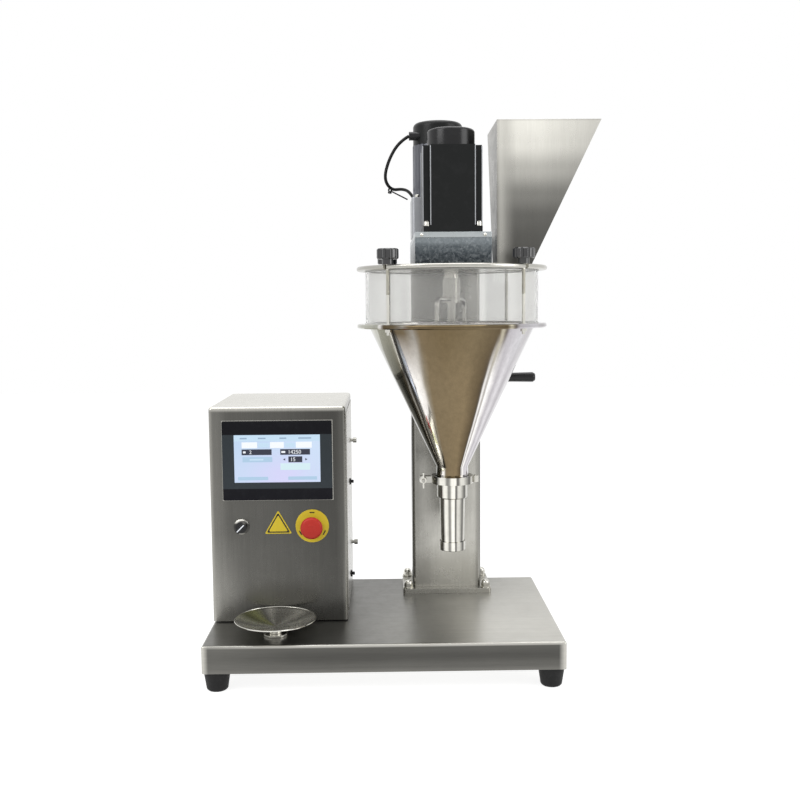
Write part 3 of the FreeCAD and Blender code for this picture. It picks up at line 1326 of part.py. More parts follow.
def make_outlet():
    node("nozzle_tube", turned("nozzle_tube", (
        ("neck_radius - cone_wall", "joint_height - ferrule_seal / 2"),
        ("ferrule_radius", "joint_height - ferrule_seal / 2"), ("ferrule_radius", "ferrule_low"),
        ("adaptor_radius", "ferrule_low"), ("adaptor_radius", "adaptor_low + 2"),
        ("adaptor_radius - 2", "adaptor_low"), ("tube_top_radius", "adaptor_low"),
        ("tube_low_radius", "tube_low"), ("ring_socket", "tube_low"),
        ("ring_socket", "outlet_low + auger_rise"), ("bore_radius", "outlet_low + auger_rise"),
        ("bore_radius", "ferrule_low - funnel_depth")),
        "hopper_x", "hopper_y"))
    node("outlet_ring", turned("outlet_ring", (
        ("ring_socket", "tube_low"), ("ring_radius", "tube_low"), ("ring_radius", "outlet_low + 1"),
        ("ring_radius - 1", "outlet_low"), ("bore_radius", "outlet_low"),
        ("bore_radius", "outlet_low + auger_rise"), ("ring_socket", "outlet_low + auger_rise")),
        "hopper_x", "hopper_y"))


# ---------------------------------------------------------------- control box


def make_control_box():
    case = body("box_block")
    plan = outline(case, "XY_Plane", "box_plan", rectangle(
        "box_left", "box_front", "box_right", "box_back"), "box_low")
    walls = pad(case, plan, "box_top - box_low")
    round_edges(case, walls, "box_round",
                lambda edge, middle: middle.y < at.box_back - 1 and (
                    middle.z > at.box_top - 0.01
                    or (upright(edge, middle) and middle.y < at.box_front + 0.01)))
    hollow = body("box_hollow")
    inner_plan = outline(hollow, "XY_Plane", "box_inner_plan", rectangle(
        "box_left + box_sheet", "box_front + box_sheet", "box_right - box_sheet", "box_back"),
        "box_low + box_sheet")
    room = pad(hollow, inner_plan, "box_top - box_low - 2 * box_sheet")
    round_edges(hollow, room, "box_round - box_sheet",
                lambda edge, middle: middle.y < at.box_back - 1 and (
                    middle.z > at.box_top - at.box_sheet - 0.01
                    or (upright(edge, middle) and middle.y < at.box_front + at.box_sheet + 0.01)))
    side = block("box_side_hole", "2 * box_sheet", "box_depth - 4 * side_margin",
                 "box_height - 4 * side_margin", "box_right - 1.5 * box_sheet",
                 "box_front + 2 * side_margin", "base_top + 2 * side_margin")
    panel = block("box_panel_hole", "panel_width - 2 * panel_back_side + 2 * panel_cut_play",
                  "4 * box_sheet", "panel_height - 2 * panel_back_side + 2 * panel_cut_play",
                  "box_x - panel_width / 2 + panel_back_side - panel_cut_play",
                  "box_front - box_sheet", "panel_z + panel_back_side - panel_cut_play")
    holes = [rod(f"{name}_hole", "barrel_radius", "4 * box_sheet", f"box_x + {name}_x",
                 "box_front - box_sheet", "row_z", "+y") for name in ("selector", "estop")]
    foot = block("box_foot", "box_width - 4 * side_margin", "box_depth - 4 * side_margin", "box_lift",
                 "box_left + 2 * side_margin", "box_front + 2 * side_margin", "base_top")
    shell = cut("box_shell", case, hollow, side, panel, *holes)
    node("control_box_shell", fuse("control_box_shell", shell, foot))


def make_rear_cover():
    """A flush plate with cooling slots, a mains inlet cut-out and two cable sockets."""
    cover = body("cover_plate")
    plan = outline(cover, "XZ_Plane", "cover_plan", rectangle(
        "box_left + box_sheet + cover_play", "box_low + box_sheet + cover_play",
        "box_right - box_sheet - cover_play", "box_top - box_sheet - cover_play"))
    plate = pad(cover, plan, "box_sheet")
    round_edges(cover, plate, "box_round - box_sheet",
                lambda edge, middle: edge.BoundBox.YLength > 1 and edge.BoundBox.ZLength < 0.01
                and middle.z > at.box_top - 10)
    slot = outline(cover, "XZ_Plane", "cover_slot", rectangle(
        "box_x - slot_length / 2", "box_top - slot_drop", "box_x + slot_length / 2",
        "box_top - slot_drop + slot_height"))
    opening = pocket(cover, slot, "box_sheet", reverse=True)
    pattern = cover.newObject("PartDesign::LinearPattern", "cover_slots")
    pattern.Originals = [opening]
    pattern.Direction = (datum(cover, "Z_Axis"), [""])
    pattern.Reversed = True
    bind(pattern, Length="slot_step * (slot_count - 1)", Occurrences="slot_count")
    cover.Tip = pattern
    place(cover, y="box_back")
    inlet = block("cover_inlet_hole", "inlet_width - 2 * inlet_rim", "4 * box_sheet",
                  "inlet_height - 2 * inlet_rim", "inlet_x - inlet_width / 2 + inlet_rim",
                  "box_back - 2 * box_sheet", "base_top + inlet_rise + inlet_rim")
    sockets = [rod(f"cover_socket_{number}", "socket_barrel", "socket_length",
                   f"box_x + socket_side + {number} * socket_step",
                   "box_back - socket_length / 2", "base_top + inlet_rise + inlet_height / 2", "+y")
               for number in range(2)]
    node("rear_cover", fuse("rear_cover", cut("cover_cut", cover, inlet), *sockets))


def make_side_cover():
    sheet_piece = block("side_sheet_piece", "side_sheet", "box_depth - 2 * side_margin",
                        "box_height - 2 * side_margin - box_lift", "box_right",
                        "box_front + side_margin", "base_top + box_lift + side_margin")
    screws = []
    for number, height in enumerate(("thumb_low", "thumb_high")):
        neck = rod(f"thumb_{number}_neck", "thumb_radius * 0.6", "thumb_length * 0.4",
                   "box_right + side_sheet", "thumb_y", f"base_top + {height}", "+x")
        grip = rod(f"thumb_{number}_grip", "thumb_radius", "thumb_length * 0.6",
                   "box_right + side_sheet + thumb_length * 0.4", "thumb_y",
                   f"base_top + {height}", "+x")
        screws += [neck, grip]
    node("side_cover", fuse("side_cover", sheet_piece, *screws))


def make_touch_panel():
    bezel = body("bezel_block")
    plan = outline(bezel, "XZ_Plane", "bezel_plan", rectangle(
        "box_x - panel_width / 2", "panel_z", "box_x + panel_width / 2", "panel_z + panel_height"))
    front = pad(bezel, plan, "panel_proud")
    round_edges(bezel, front, "panel_round",
                lambda edge, middle: edge.BoundBox.YLength > 1 and edge.BoundBox.ZLength < 0.01)
    place(bezel, y="box_front")
    back = block("panel_back", "panel_width - 2 * panel_back_side", "panel_back_depth",
                 "panel_height - 2 * panel_back_side", "box_x - panel_width / 2 + panel_back_side",
                 "box_front", "panel_z + panel_back_side")
    recess = block("screen_recess", "screen_width", "screen_thick", "screen_height",
                   "box_x - screen_width / 2", "box_front - panel_proud", "screen_low")
    node("touch_panel", cut("touch_panel", fuse("panel_body", bezel, back), recess))
    node("touch_screen", block("touch_screen", "screen_width", "screen_thick", "screen_height",
                               "box_x - screen_width / 2", "box_front - panel_proud", "screen_low"))


def make_selector():
    x = "box_x + selector_x"
    collar = rod("selector_collar", "selector_bezel_radius", "selector_bezel_thick", x, "box_front",
                 "row_z", "-y")
    barrel = rod("selector_barrel", "barrel_radius", "barrel_length", x, "box_front", "row_z", "+y")
    node("selector_bezel", fuse("selector_bezel", collar, barrel))
    knob = Part.makeCylinder(at.selector_knob_radius, at.selector_knob_length * 0.4)
    lever = Part.makeBox(at.selector_lever, 2 * at.selector_knob_radius, at.selector_knob_length,
                         Vector(-at.selector_lever / 2, -at.selector_knob_radius, 0))
    handle = lever.common(Part.makeCylinder(at.selector_knob_radius, at.selector_knob_length))
    turned_knob = knob.fuse(handle).removeSplitter()
    turned_knob.rotate(Vector(), Vector(0, 0, 1), -at.selector_turn)
    turned_knob.rotate(Vector(), Vector(1, 0, 0), 90)
    node("selector_knob", shaped("selector_knob", turned_knob, x,
                                 "box_front - selector_bezel_thick - seat_gap", "row_z"))


def make_stop_button():
    x = "box_x + estop_x"
    node("estop_plate", ring("estop_plate", "estop_plate_radius", "estop_collar_radius",
                             "estop_plate_thick", x, "box_front", "row_z", "-y"))
    collar = rod("estop_collar", "estop_collar_radius", "estop_collar_length", x, "box_front",
                 "row_z", "-y")
    barrel = rod("estop_barrel", "barrel_radius", "barrel_length", x, "box_front", "row_z", "+y")
    well = rod("estop_well", "estop_stem_radius + estop_stem_fit",
               "estop_collar_length + barrel_length / 2", x,
               "box_front - estop_collar_length", "row_z", "+y")
    node("estop_body", cut("estop_body", fuse("estop_case", collar, barrel), well))
    stem = rod("estop_stem", "estop_stem_radius",
               "estop_collar_length + barrel_length / 2 - 1",
               x, "box_front - estop_collar_length - estop_travel - 1", "row_z", "+y")
    node("estop_stem", stem)
    head = turned("estop_mushroom", (
        ("0", "0"), ("estop_head_radius * 0.7", "0"), ("estop_head_radius", "4"),
        ("estop_head_radius", "8"), ("estop_head_radius * 0.85", "estop_head_height - 1.5"),
        ("estop_head_radius * 0.4", "estop_head_height"), ("0", "estop_head_height")))
    head.Placement = Placement(Vector(), TURNS["-y"])
    node("estop_head", place(head, x, "box_front - estop_collar_length - estop_travel - 1", "row_z"))


def make_power_inlet():
    low = "base_top + inlet_rise"
    flange = block("inlet_flange", "inlet_width", "inlet_lip", "inlet_height",
                   "inlet_x - inlet_width / 2", "box_back", low)
    barrel = block("inlet_barrel", "inlet_width - 2 * inlet_rim - 2 * inlet_play", "inlet_depth",
                   "inlet_height - 2 * inlet_rim - 2 * inlet_play",
                   "inlet_x - inlet_width / 2 + inlet_rim + inlet_play", "box_back - inlet_depth",
                   f"{low} + inlet_rim + inlet_play")
    well = block("inlet_well", "inlet_width - 2 * inlet_wall", "inlet_well_depth + inlet_lip",
                 "inlet_height - 2 * inlet_wall + 2", "inlet_x - inlet_width / 2 + inlet_wall",
                 "box_back - inlet_well_depth", f"{low} + inlet_wall - 1")
    node("power_inlet", cut("power_inlet", fuse("inlet_body", flange, barrel), well))


# ---------------------------------------------------------------- dish and cable


def make_dish():
    flange = rod("stub_plate", "stub_flange_radius", "stub_flange", "dish_x", "dish_y", "base_top")
    pin = rod("stub_pin", "stub_radius", "stub_flange + stub_height", "dish_x", "dish_y", "base_top")
    node("dish_stub", fuse("dish_stub", flange, pin))
    outer = doc.addObject("Part::Sphere", "dish_outer")
    bind(outer, Radius="dish_sphere")
    place(outer, "dish_x", "dish_y", "dish_level - dish_depth + dish_sphere")
    inner = doc.addObject("Part::Sphere", "dish_inner")
    bind(inner, Radius="dish_sphere - dish_wall")
    place(inner, "dish_x", "dish_y", "dish_level - dish_depth + dish_sphere")
    above = block("dish_above", "3 * dish_sphere", "3 * dish_sphere", "3 * dish_sphere",
                  "dish_x - 1.5 * dish_sphere", "dish_y - 1.5 * dish_sphere", "dish_level")
    hub = rod("dish_hub", "dish_hub_radius", "dish_level - dish_depth + 2 - dish_seat", "dish_x",
              "dish_y", "dish_seat")
    hub_trim = cut("dish_hub_trim", hub, inner)
    bowl = cut("dish_bowl", outer, inner, above)
    socket = rod("dish_socket", "stub_radius + pin_fit", "stub_height - seat_gap + 0.4", "dish_x",
                 "dish_y", "dish_seat")
    node("dish", cut("dish", fuse("dish_body", bowl, hub_trim), socket))


def make_cable():
    """The stir motor's lead: out of the fan cover, down in a loop and back into the motor plate."""
    whole = rod("gland_side_whole", "gland_radius", "gland_length + gland_seat", "gland_x + gland_seat",
                "gland_y", "gland_z", "-x")
    seat = rod("gland_side_seat", "fan_cover_radius", "fan_cover_height", "stir_x", "stir_y",
               "stir_body_top")
    side = cut("gland_side", whole, seat)
    low = rod("gland_low", "gland_radius", "gland_length", "entry_x", "entry_y", "drive_level")
    node("cable_glands", group("cable_glands", side, low))
    start = Vector(at.gland_x - at.gland_length, at.gland_y, at.gland_z)
    route = [tuple(start)]
    for number in range(1, len(LEAD_STEPS) + 1):
        route.append((start.x - getattr(at, f"lead_{number}_left"),
                      start.y + getattr(at, f"lead_{number}_back"),
                      start.z - getattr(at, f"lead_{number}_down")))
    route.append((at.entry_x, at.entry_y, at.drive_level + at.gland_length))
    wire = bent_wire(route, None)
    lead = bent_rod(route, at.cable_radius)
    radii = [round(edge.Curve.Radius, 1) for edge in wire.Edges if hasattr(edge.Curve, "Radius")]
    expected = math.pi * at.cable_radius ** 2 * wire.Length
    print("lead radii", radii, "length", round(wire.Length, 1),
          "volume share", round(lead.Volume / expected, 4))
    node("motor_cable", shaped("motor_cable", lead))


make_base_pan()
make_feet()
make_column_foot_plate()
make_column_bolts()
make_column_tube()
make_column_guide()
make_shaft_bushings()
make_inner_post()
make_lift_rack()
make_post_shoe()
make_pinion_shaft()
make_crank_arm()
make_crank_grip()
make_head_box()
make_motor_plate()
make_servo_body()
make_servo_cap()
make_servo_shaft()
make_stir_gearhead()
make_stir_motor_body()
make_stir_fan_cover()
make_pulleys()
make_timing_belt()
make_lid_plate()
make_bearing()
make_agitator_quill()
make_agitator_frame()
make_auger_screw()
make_clear_cylinder()
make_hopper_gaskets()
make_hopper_cone()
make_tie_rods_and_knobs()
make_inlet_chute()
make_clamp_ring()
make_wing_nut()
make_outlet()
make_control_box()
make_rear_cover()
make_side_cover()
make_touch_panel()
make_selector()
make_stop_button()
make_power_inlet()
make_dish()
make_cable()

doc.recompute()
for piece in doc.Objects:
    if "Invalid" in piece.State or "Error" in piece.State:
        raise RuntimeError(f"{piece.Label} failed: {piece.State}")
os.makedirs("parts", exist_ok=True)
for name, piece in nodes.items():
    if piece.Shape.isNull() or not piece.Shape.isValid() or not piece.Shape.Solids:
        raise RuntimeError(f"{name} has no valid shape")
    piece.Shape.exportStep(f"parts/{name}.step")
print(len(nodes), "nodes")
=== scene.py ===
import json
import math

import bmesh
import bpy
from mathutils import Matrix, Vector


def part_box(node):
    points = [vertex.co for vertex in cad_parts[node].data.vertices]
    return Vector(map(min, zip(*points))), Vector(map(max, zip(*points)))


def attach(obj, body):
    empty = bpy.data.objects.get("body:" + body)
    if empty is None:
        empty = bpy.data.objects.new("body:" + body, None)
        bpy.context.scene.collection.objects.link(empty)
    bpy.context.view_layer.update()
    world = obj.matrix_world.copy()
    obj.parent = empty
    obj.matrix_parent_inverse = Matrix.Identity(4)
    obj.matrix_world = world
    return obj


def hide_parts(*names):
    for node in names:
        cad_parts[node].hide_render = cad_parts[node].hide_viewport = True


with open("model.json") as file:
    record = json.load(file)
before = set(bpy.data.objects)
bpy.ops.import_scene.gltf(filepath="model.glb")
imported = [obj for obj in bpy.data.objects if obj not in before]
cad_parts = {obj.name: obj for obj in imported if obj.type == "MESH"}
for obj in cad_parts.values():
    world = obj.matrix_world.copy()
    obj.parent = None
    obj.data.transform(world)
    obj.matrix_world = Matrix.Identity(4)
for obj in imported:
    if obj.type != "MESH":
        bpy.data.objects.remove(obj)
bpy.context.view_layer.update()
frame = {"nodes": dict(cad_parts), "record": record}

mm = 0.001


def corners(node):
    low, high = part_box(node)
    return Vector(low), Vector(high)


def middle(node):
    low, high = corners(node)
    return (low + high) / 2


def show(item):
    bpy.context.scene.collection.objects.link(item)
    return item


# ---------------------------------------------------------------- effects shared by the finishes


class Effect:
    """A shader node group with named inputs and outputs."""

    def __init__(self, name, inputs, outputs):
        self.group = bpy.data.node_groups.new(name, "ShaderNodeTree")
        kinds = {"vector": "NodeSocketVector", "value": "NodeSocketFloat", "colour": "NodeSocketColor"}
        for label, kind, start in inputs:
            socket = self.group.interface.new_socket(label, in_out="INPUT", socket_type=kinds[kind])
            if start is not None:
                socket.default_value = start
        for label, kind in outputs:
            self.group.interface.new_socket(label, in_out="OUTPUT", socket_type=kinds[kind])
        self.entry = self.group.nodes.new("NodeGroupInput")
        self.exit = self.group.nodes.new("NodeGroupOutput")

def maths(tree, operation, first, second=None, third=None):
    node = tree.nodes.new("ShaderNodeMath")
    node.operation = operation
    for socket, value in zip(node.inputs, (first, second, third)):
        if value is None:
            continue
        if isinstance(value, (int, float)):
            socket.default_value = value
        else:
            tree.links.new(value, socket)
    return node.outputs[0]


def noise_at(tree, vector, scale, detail=3.0, roughness=0.5):
    node = tree.nodes.new("ShaderNodeTexNoise")
    node.inputs["Scale"].default_value = scale
    node.inputs["Detail"].default_value = detail
    node.inputs["Roughness"].default_value = roughness
    tree.links.new(vector, node.inputs["Vector"])
    return node.outputs["Fac"]


def stretched(tree, vector, scale):
    node = tree.nodes.new("ShaderNodeMapping")
    node.inputs["Scale"].default_value = scale
    tree.links.new(vector, node.inputs["Vector"])
    return node.outputs["Vector"]


def levels(tree, value, low, high, start=0.0, end=1.0):
    node = tree.nodes.new("ShaderNodeMapRange")
    tree.links.new(value, node.inputs["Value"])
    for name, number in zip(("From Min", "From Max", "To Min", "To Max"), (low, high, start, end)):
        node.inputs[name].default_value = number
    return node.outputs["Result"]


def make_brush_effect():
    """Fine lines along one axis. The vector comes already stretched along them."""
    effect = Effect("brush_lines", [("Vector", "vector", None), ("Depth", "value", 0.5)],
                    [("Shade", "value"), ("Height", "value")])
    tree = effect.group
    fine = noise_at(tree, effect.entry.outputs["Vector"], 900.0, 2.0, 0.6)
    broad = noise_at(tree, effect.entry.outputs["Vector"], 160.0, 2.0, 0.5)
    both = maths(tree, "ADD", maths(tree, "MULTIPLY", fine, 0.6), maths(tree, "MULTIPLY", broad, 0.4))
    centred = maths(tree, "SUBTRACT", both, 0.5)
    shade = maths(tree, "MULTIPLY_ADD", centred, effect.entry.outputs["Depth"], 0.5)
    tree.links.new(shade, effect.exit.inputs["Shade"])
    tree.links.new(both, effect.exit.inputs["Height"])
    return tree


def make_cloud_effect():
    """Soft uneven patches, such as handled or aged surfaces show."""
    effect = Effect("soft_clouds", [("Vector", "vector", None), ("Size", "value", 12.0)],
                    [("Mask", "value"), ("Smudge", "value")])
    tree = effect.group
    wide = tree.nodes.new("ShaderNodeTexNoise")
    wide.inputs["Detail"].default_value = 4.0
    tree.links.new(effect.entry.outputs["Vector"], wide.inputs["Vector"])
    tree.links.new(effect.entry.outputs["Size"], wide.inputs["Scale"])
    close = tree.nodes.new("ShaderNodeTexNoise")
    close.inputs["Detail"].default_value = 6.0
    close.inputs["Roughness"].default_value = 0.7
    tree.links.new(effect.entry.outputs["Vector"], close.inputs["Vector"])
    tree.links.new(maths(tree, "MULTIPLY", effect.entry.outputs["Size"], 6.0), close.inputs["Scale"])
    tree.links.new(levels(tree, wide.outputs["Fac"], 0.3, 0.7), effect.exit.inputs["Mask"])
    tree.links.new(levels(tree, close.outputs["Fac"], 0.35, 0.75), effect.exit.inputs["Smudge"])
    return tree


def make_grain_effect():
    """The fine dimples of moulded plastic and rubber."""
    effect = Effect("moulded_grain", [("Vector", "vector", None), ("Size", "value", 900.0)],
                    [("Height", "value"), ("Dust", "value")])
    tree = effect.group
    cells = tree.nodes.new("ShaderNodeTexNoise")
    cells.inputs["Detail"].default_value = 3.0
    tree.links.new(effect.entry.outputs["Vector"], cells.inputs["Vector"])
    tree.links.new(effect.entry.outputs["Size"], cells.inputs["Scale"])
    dust = noise_at(tree, effect.entry.outputs["Vector"], 60.0, 8.0, 0.75)
    tree.links.new(cells.outputs["Fac"], effect.exit.inputs["Height"])
    tree.links.new(levels(tree, dust, 0.5, 0.8), effect.exit.inputs["Dust"])
    return tree


def make_spangle_effect():
    """The crystal flakes of zinc coated sheet."""
    effect = Effect("zinc_spangle", [("Vector", "vector", None), ("Size", "value", 70.0)],
                    [("Flake", "value"), ("Height", "value")])
    tree = effect.group
    bent = tree.nodes.new("ShaderNodeTexNoise")
    bent.inputs["Scale"].default_value = 40.0
    tree.links.new(effect.entry.outputs["Vector"], bent.inputs["Vector"])
    mixed = tree.nodes.new("ShaderNodeVectorMath")
    mixed.operation = "MULTIPLY_ADD"
    tree.links.new(bent.outputs["Color"], mixed.inputs[0])
    mixed.inputs[1].default_value = (0.02, 0.02, 0.02)
    tree.links.new(effect.entry.outputs["Vector"], mixed.inputs[2])
    flakes = tree.nodes.new("ShaderNodeTexVoronoi")
    tree.links.new(mixed.outputs[0], flakes.inputs["Vector"])
    tree.links.new(effect.entry.outputs["Size"], flakes.inputs["Scale"])
    shade = tree.nodes.new("ShaderNodeSeparateColor")
    tree.links.new(flakes.outputs["Color"], shade.inputs[0])
    tree.links.new(shade.outputs[0], effect.exit.inputs["Flake"])
    tree.links.new(flakes.outputs["Distance"], effect.exit.inputs["Height"])
    return tree


BRUSH = make_brush_effect()
CLOUDS = make_cloud_effect()
GRAIN = make_grain_effect()
SPANGLE = make_spangle_effect()


# ---------------------------------------------------------------- finishes


class Finish:
    """A material with a Principled shader and the helpers that its surface needs."""

    def __init__(self, name, colour, roughness=0.5, metallic=0.0, **sockets):
        self.material = bpy.data.materials.new(name)
        self.material.use_nodes = True
        self.tree = self.material.node_tree
        self.shader = self.tree.nodes["Principled BSDF"]
        self.shader.inputs["Base Color"].default_value = (*colour, 1)
        self.shader.inputs["Roughness"].default_value = roughness
        self.shader.inputs["Metallic"].default_value = metallic
        for label, value in sockets.items():
            self.shader.inputs[label.replace("_", " ")].default_value = value
        self.object_point = self.tree.nodes.new("ShaderNodeTexCoord").outputs["Object"]
        self.material.diffuse_color = (*colour, 1)

    def about(self, point):
        """Object coordinates counted from a point."""
        node = self.tree.nodes.new("ShaderNodeMapping")
        node.inputs["Location"].default_value = (-point[0], -point[1], -point[2])
        self.tree.links.new(self.object_point, node.inputs["Vector"])
        return node.outputs["Vector"]

    def effect(self, group, vector, **values):
        node = self.tree.nodes.new("ShaderNodeGroup")
        node.node_tree = group
        self.tree.links.new(vector, node.inputs["Vector"])
        for label, value in values.items():
            node.inputs[label].default_value = value
        return node.outputs

    def blend(self, mask, first, second):
        """A colour between two colours or links."""
        node = self.tree.nodes.new("ShaderNodeMix")
        node.data_type = "RGBA"
        self.tree.links.new(mask, node.inputs["Factor"])
        for socket, value in ((node.inputs[6], first), (node.inputs[7], second)):
            if isinstance(value, tuple):
                socket.default_value = (*value, 1)
            else:
                self.tree.links.new(value, socket)
        return node.outputs[2]

    def colour(self, link):
        self.tree.links.new(link, self.shader.inputs["Base Color"])

    def roughness(self, value, low, high):
        self.tree.links.new(levels(self.tree, value, 0, 1, low, high), self.shader.inputs["Roughness"])

    def scaled(self, tone, factor):
        """A colour made lighter or darker by a factor."""
        node = self.tree.nodes.new("ShaderNodeVectorMath")
        node.operation = "SCALE"
        self.tree.links.new(tone, node.inputs[0])
        self.tree.links.new(factor, node.inputs["Scale"])
        return node.outputs[0]

    def bump(self, height, strength, distance=0.0003):
        node = self.tree.nodes.new("ShaderNodeBump")
        node.inputs["Strength"].default_value = strength
        node.inputs["Distance"].default_value = distance
        self.tree.links.new(height, node.inputs["Height"])
        self.tree.links.new(node.outputs[0], self.shader.inputs["Normal"])


def ramp(finish, value, stops, between="EASE"):
    """Colours along a value, each stop (place, colour)."""
    node = finish.tree.nodes.new("ShaderNodeValToRGB")
    node.color_ramp.interpolation = between
    while len(node.color_ramp.elements) < len(stops):
        node.color_ramp.elements.new(0.5)
    for element, (place, shade) in zip(node.color_ramp.elements, stops):
        element.position = place
        element.color = (*(warm(shade) if isinstance(shade, float) else shade), 1)
    finish.tree.links.new(value, node.inputs["Fac"])
    return node.outputs["Color"]


def coordinate(finish, axis):
    parts = finish.tree.nodes.new("ShaderNodeSeparateXYZ")
    finish.tree.links.new(finish.object_point, parts.inputs[0])
    return parts.outputs["XYZ".index(axis)]


def share(finish, axis, low, high):
    """0 at one place along an axis and 1 at another."""
    return levels(finish.tree, coordinate(finish, axis), low, high)


def tones(finish, axis, stops):
    """Colours along an axis, each stop (metres, colour). A grey may be one number."""
    low, high = stops[0][0], stops[-1][0]
    placed = [((place - low) / (high - low), shade) for place, shade in stops]
    return ramp(finish, share(finish, axis, low, high), placed)


def warm(level, tint=(1.0, 0.98, 0.90)):
    return tuple(level * channel for channel in tint)


def satin(name, build, lines, roughness=(0.22, 0.36), metallic=0.9, depth=0.8, bump=0.10):
    """Ground stainless sheet. build gives its tone, which for several sheets holds painted light and shade;
    lines stretches the grinding marks.
    """
    finish = Finish(name, (0.4, 0.4, 0.38), metallic=metallic)
    tone = build(finish)
    brush = finish.effect(BRUSH, stretched(finish.tree, finish.object_point, lines), Depth=depth)
    clouds = finish.effect(CLOUDS, finish.object_point, Size=7.0)
    lit = maths(finish.tree, "MULTIPLY_ADD", brush["Shade"], 0.50, 0.72)
    drift = maths(finish.tree, "MULTIPLY_ADD", clouds["Mask"], 0.10, 0.95)
    finish.colour(finish.scaled(tone, maths(finish.tree, "MULTIPLY", lit, drift)))
    finish.roughness(clouds["Smudge"], *roughness)
    finish.bump(brush["Height"], bump, 0.00008)
    return finish


def even(dark, light, axis="Z", low=0.0, high=1.0):
    """A tone that changes evenly along one axis."""
    return lambda finish: tones(finish, axis, ((low, dark), (high, light)))


def azimuth(finish, point):
    """The angle about an upright axis: 0.5 in front, 0.25 at the left, 0.75 at the right."""
    parts = finish.tree.nodes.new("ShaderNodeSeparateXYZ")
    finish.tree.links.new(finish.about(point), parts.inputs[0])
    ahead = maths(finish.tree, "MULTIPLY", parts.outputs[1], -1.0)
    angle = maths(finish.tree, "ARCTAN2", parts.outputs[0], ahead)
    return maths(finish.tree, "MULTIPLY_ADD", angle, 0.5 / math.pi, 0.5)


def angle_stops(stops):
    """Stops given in degrees from the front, right positive."""
    return [(0.5 + degrees / 360, shade) for degrees, shade in stops]


def mirror(name, point, bands, high_bands=None, heights=(0, 1), roughness=(0.04, 0.14), waver=0.012):
    """Mirror polished metal turned about an axis, with the long reflections such a shape carries painted
    into its colour as bands round the axis.
    """
    finish = Finish(name, (0.6, 0.6, 0.58), metallic=1.0)
    wave = noise_at(finish.tree, stretched(finish.tree, finish.object_point, (14, 14, 5)), 1.0, 2.0)
    shift = maths(finish.tree, "MULTIPLY_ADD", wave, 2 * waver, -waver)
    angle = maths(finish.tree, "ADD", azimuth(finish, point), shift)
    tone = ramp(finish, angle, angle_stops(bands), "LINEAR")
    if high_bands:
        upper = ramp(finish, angle, angle_stops(high_bands), "LINEAR")
        tone = finish.blend(share(finish, "Z", *heights), tone, upper)
    clouds = finish.effect(CLOUDS, finish.object_point, Size=16.0)
    grind = finish.effect(BRUSH, stretched(finish.tree, finish.object_point, (0.8, 0.8, 0.03)), Depth=0.7)
    worn = maths(finish.tree, "MULTIPLY_ADD", clouds["Smudge"], -0.16, 0.80)
    worn = maths(finish.tree, "MULTIPLY_ADD", grind["Shade"], 0.50, worn)
    finish.colour(finish.scaled(tone, worn))
    finish.roughness(clouds["Smudge"], *roughness)
    return finish


def moulded(name, colour, worn, roughness=(0.35, 0.5), size=900.0, bump=0.15, **sockets):
    """Moulded plastic, rubber or paint, with fine grain and a little dust."""
    finish = Finish(name, colour, **sockets)
    grain = finish.effect(GRAIN, finish.object_point, Size=size)
    finish.colour(finish.blend(maths(finish.tree, "MULTIPLY", grain["Dust"], 0.35), colour, worn))
    finish.roughness(grain["Height"], *roughness)
    finish.bump(grain["Height"], bump, 0.0002)
    return finish


AXIS = middle("nozzle_tube")
BASE_LOW, BASE_HIGH = corners("base_pan")
BOX_LOW, BOX_HIGH = corners("control_box_shell")
CHUTE_LOW, CHUTE_HIGH = corners("inlet_chute")
HEAD_LOW, HEAD_HIGH = corners("head_box")
PANEL_LOW, PANEL_HIGH = corners("touch_panel")


def base_painted_light(finish):
    # Painted light and shade: the top painted lighter towards the right as painted reflections, the front
    # face darker in its middle with a painted highlight along its top edge, painted highlights at both ends
    # and the left part painted lighter.
    top = finish.blend(share(finish, "Y", -0.10, 0.20),
                       tones(finish, "X", ((-0.32, 0.19), (-0.10, 0.17), (0.08, 0.30), (0.18, 0.60),
                                           (0.32, 0.58))),
                       tones(finish, "X", ((-0.32, 0.17), (0.00, 0.14), (0.20, 0.34), (0.32, 0.46))))
    low, high = BASE_LOW.z, BASE_HIGH.z
    face = tones(finish, "Z", ((low, 0.17), (low + 0.010, 0.12), (low + 0.028, 0.082),
                               (high - 0.006, 0.10), (high - 0.003, 0.50)))
    ends = maths(finish.tree, "MAXIMUM", share(finish, "X", BASE_LOW.x + 0.012, BASE_LOW.x + 0.004),
                 share(finish, "X", BASE_HIGH.x - 0.014, BASE_HIGH.x - 0.004))
    left = maths(finish.tree, "MULTIPLY", share(finish, "X", -0.16, -0.30), 0.5)
    skirt = finish.blend(ends, finish.blend(left, face, warm(0.17)), warm(0.52))
    return finish.blend(share(finish, "Z", high - 0.0012, high - 0.0002), skirt, top)


def box_painted_light(finish):
    # Painted light and shade: painted highlights down the left and right edges, painted shade deepening
    # towards the right, the lower left painted lighter, and the top painted lighter with a painted highlight
    # along its edge.
    low, high = BOX_LOW, BOX_HIGH
    across = tones(finish, "X", ((low.x, 0.34), (low.x + 0.009, 0.16), (low.x + 0.040, 0.105),
                                 (low.x + 0.120, 0.095), (high.x - 0.020, 0.068),
                                 (high.x - 0.006, 0.10), (high.x, 0.30)))
    foot = tones(finish, "X", ((low.x, 0.36), (low.x + 0.020, 0.24), (low.x + 0.070, 0.12),
                               (high.x - 0.010, 0.085), (high.x, 0.30)))
    front = finish.blend(share(finish, "Z", low.z + 0.02, low.z + 0.17), foot, across)
    edge = tones(finish, "Z", ((high.z - 0.012, 0.10), (high.z - 0.006, 0.40), (high.z, 0.68)))
    return finish.blend(share(finish, "Z", high.z - 0.011, high.z - 0.006), front, edge)


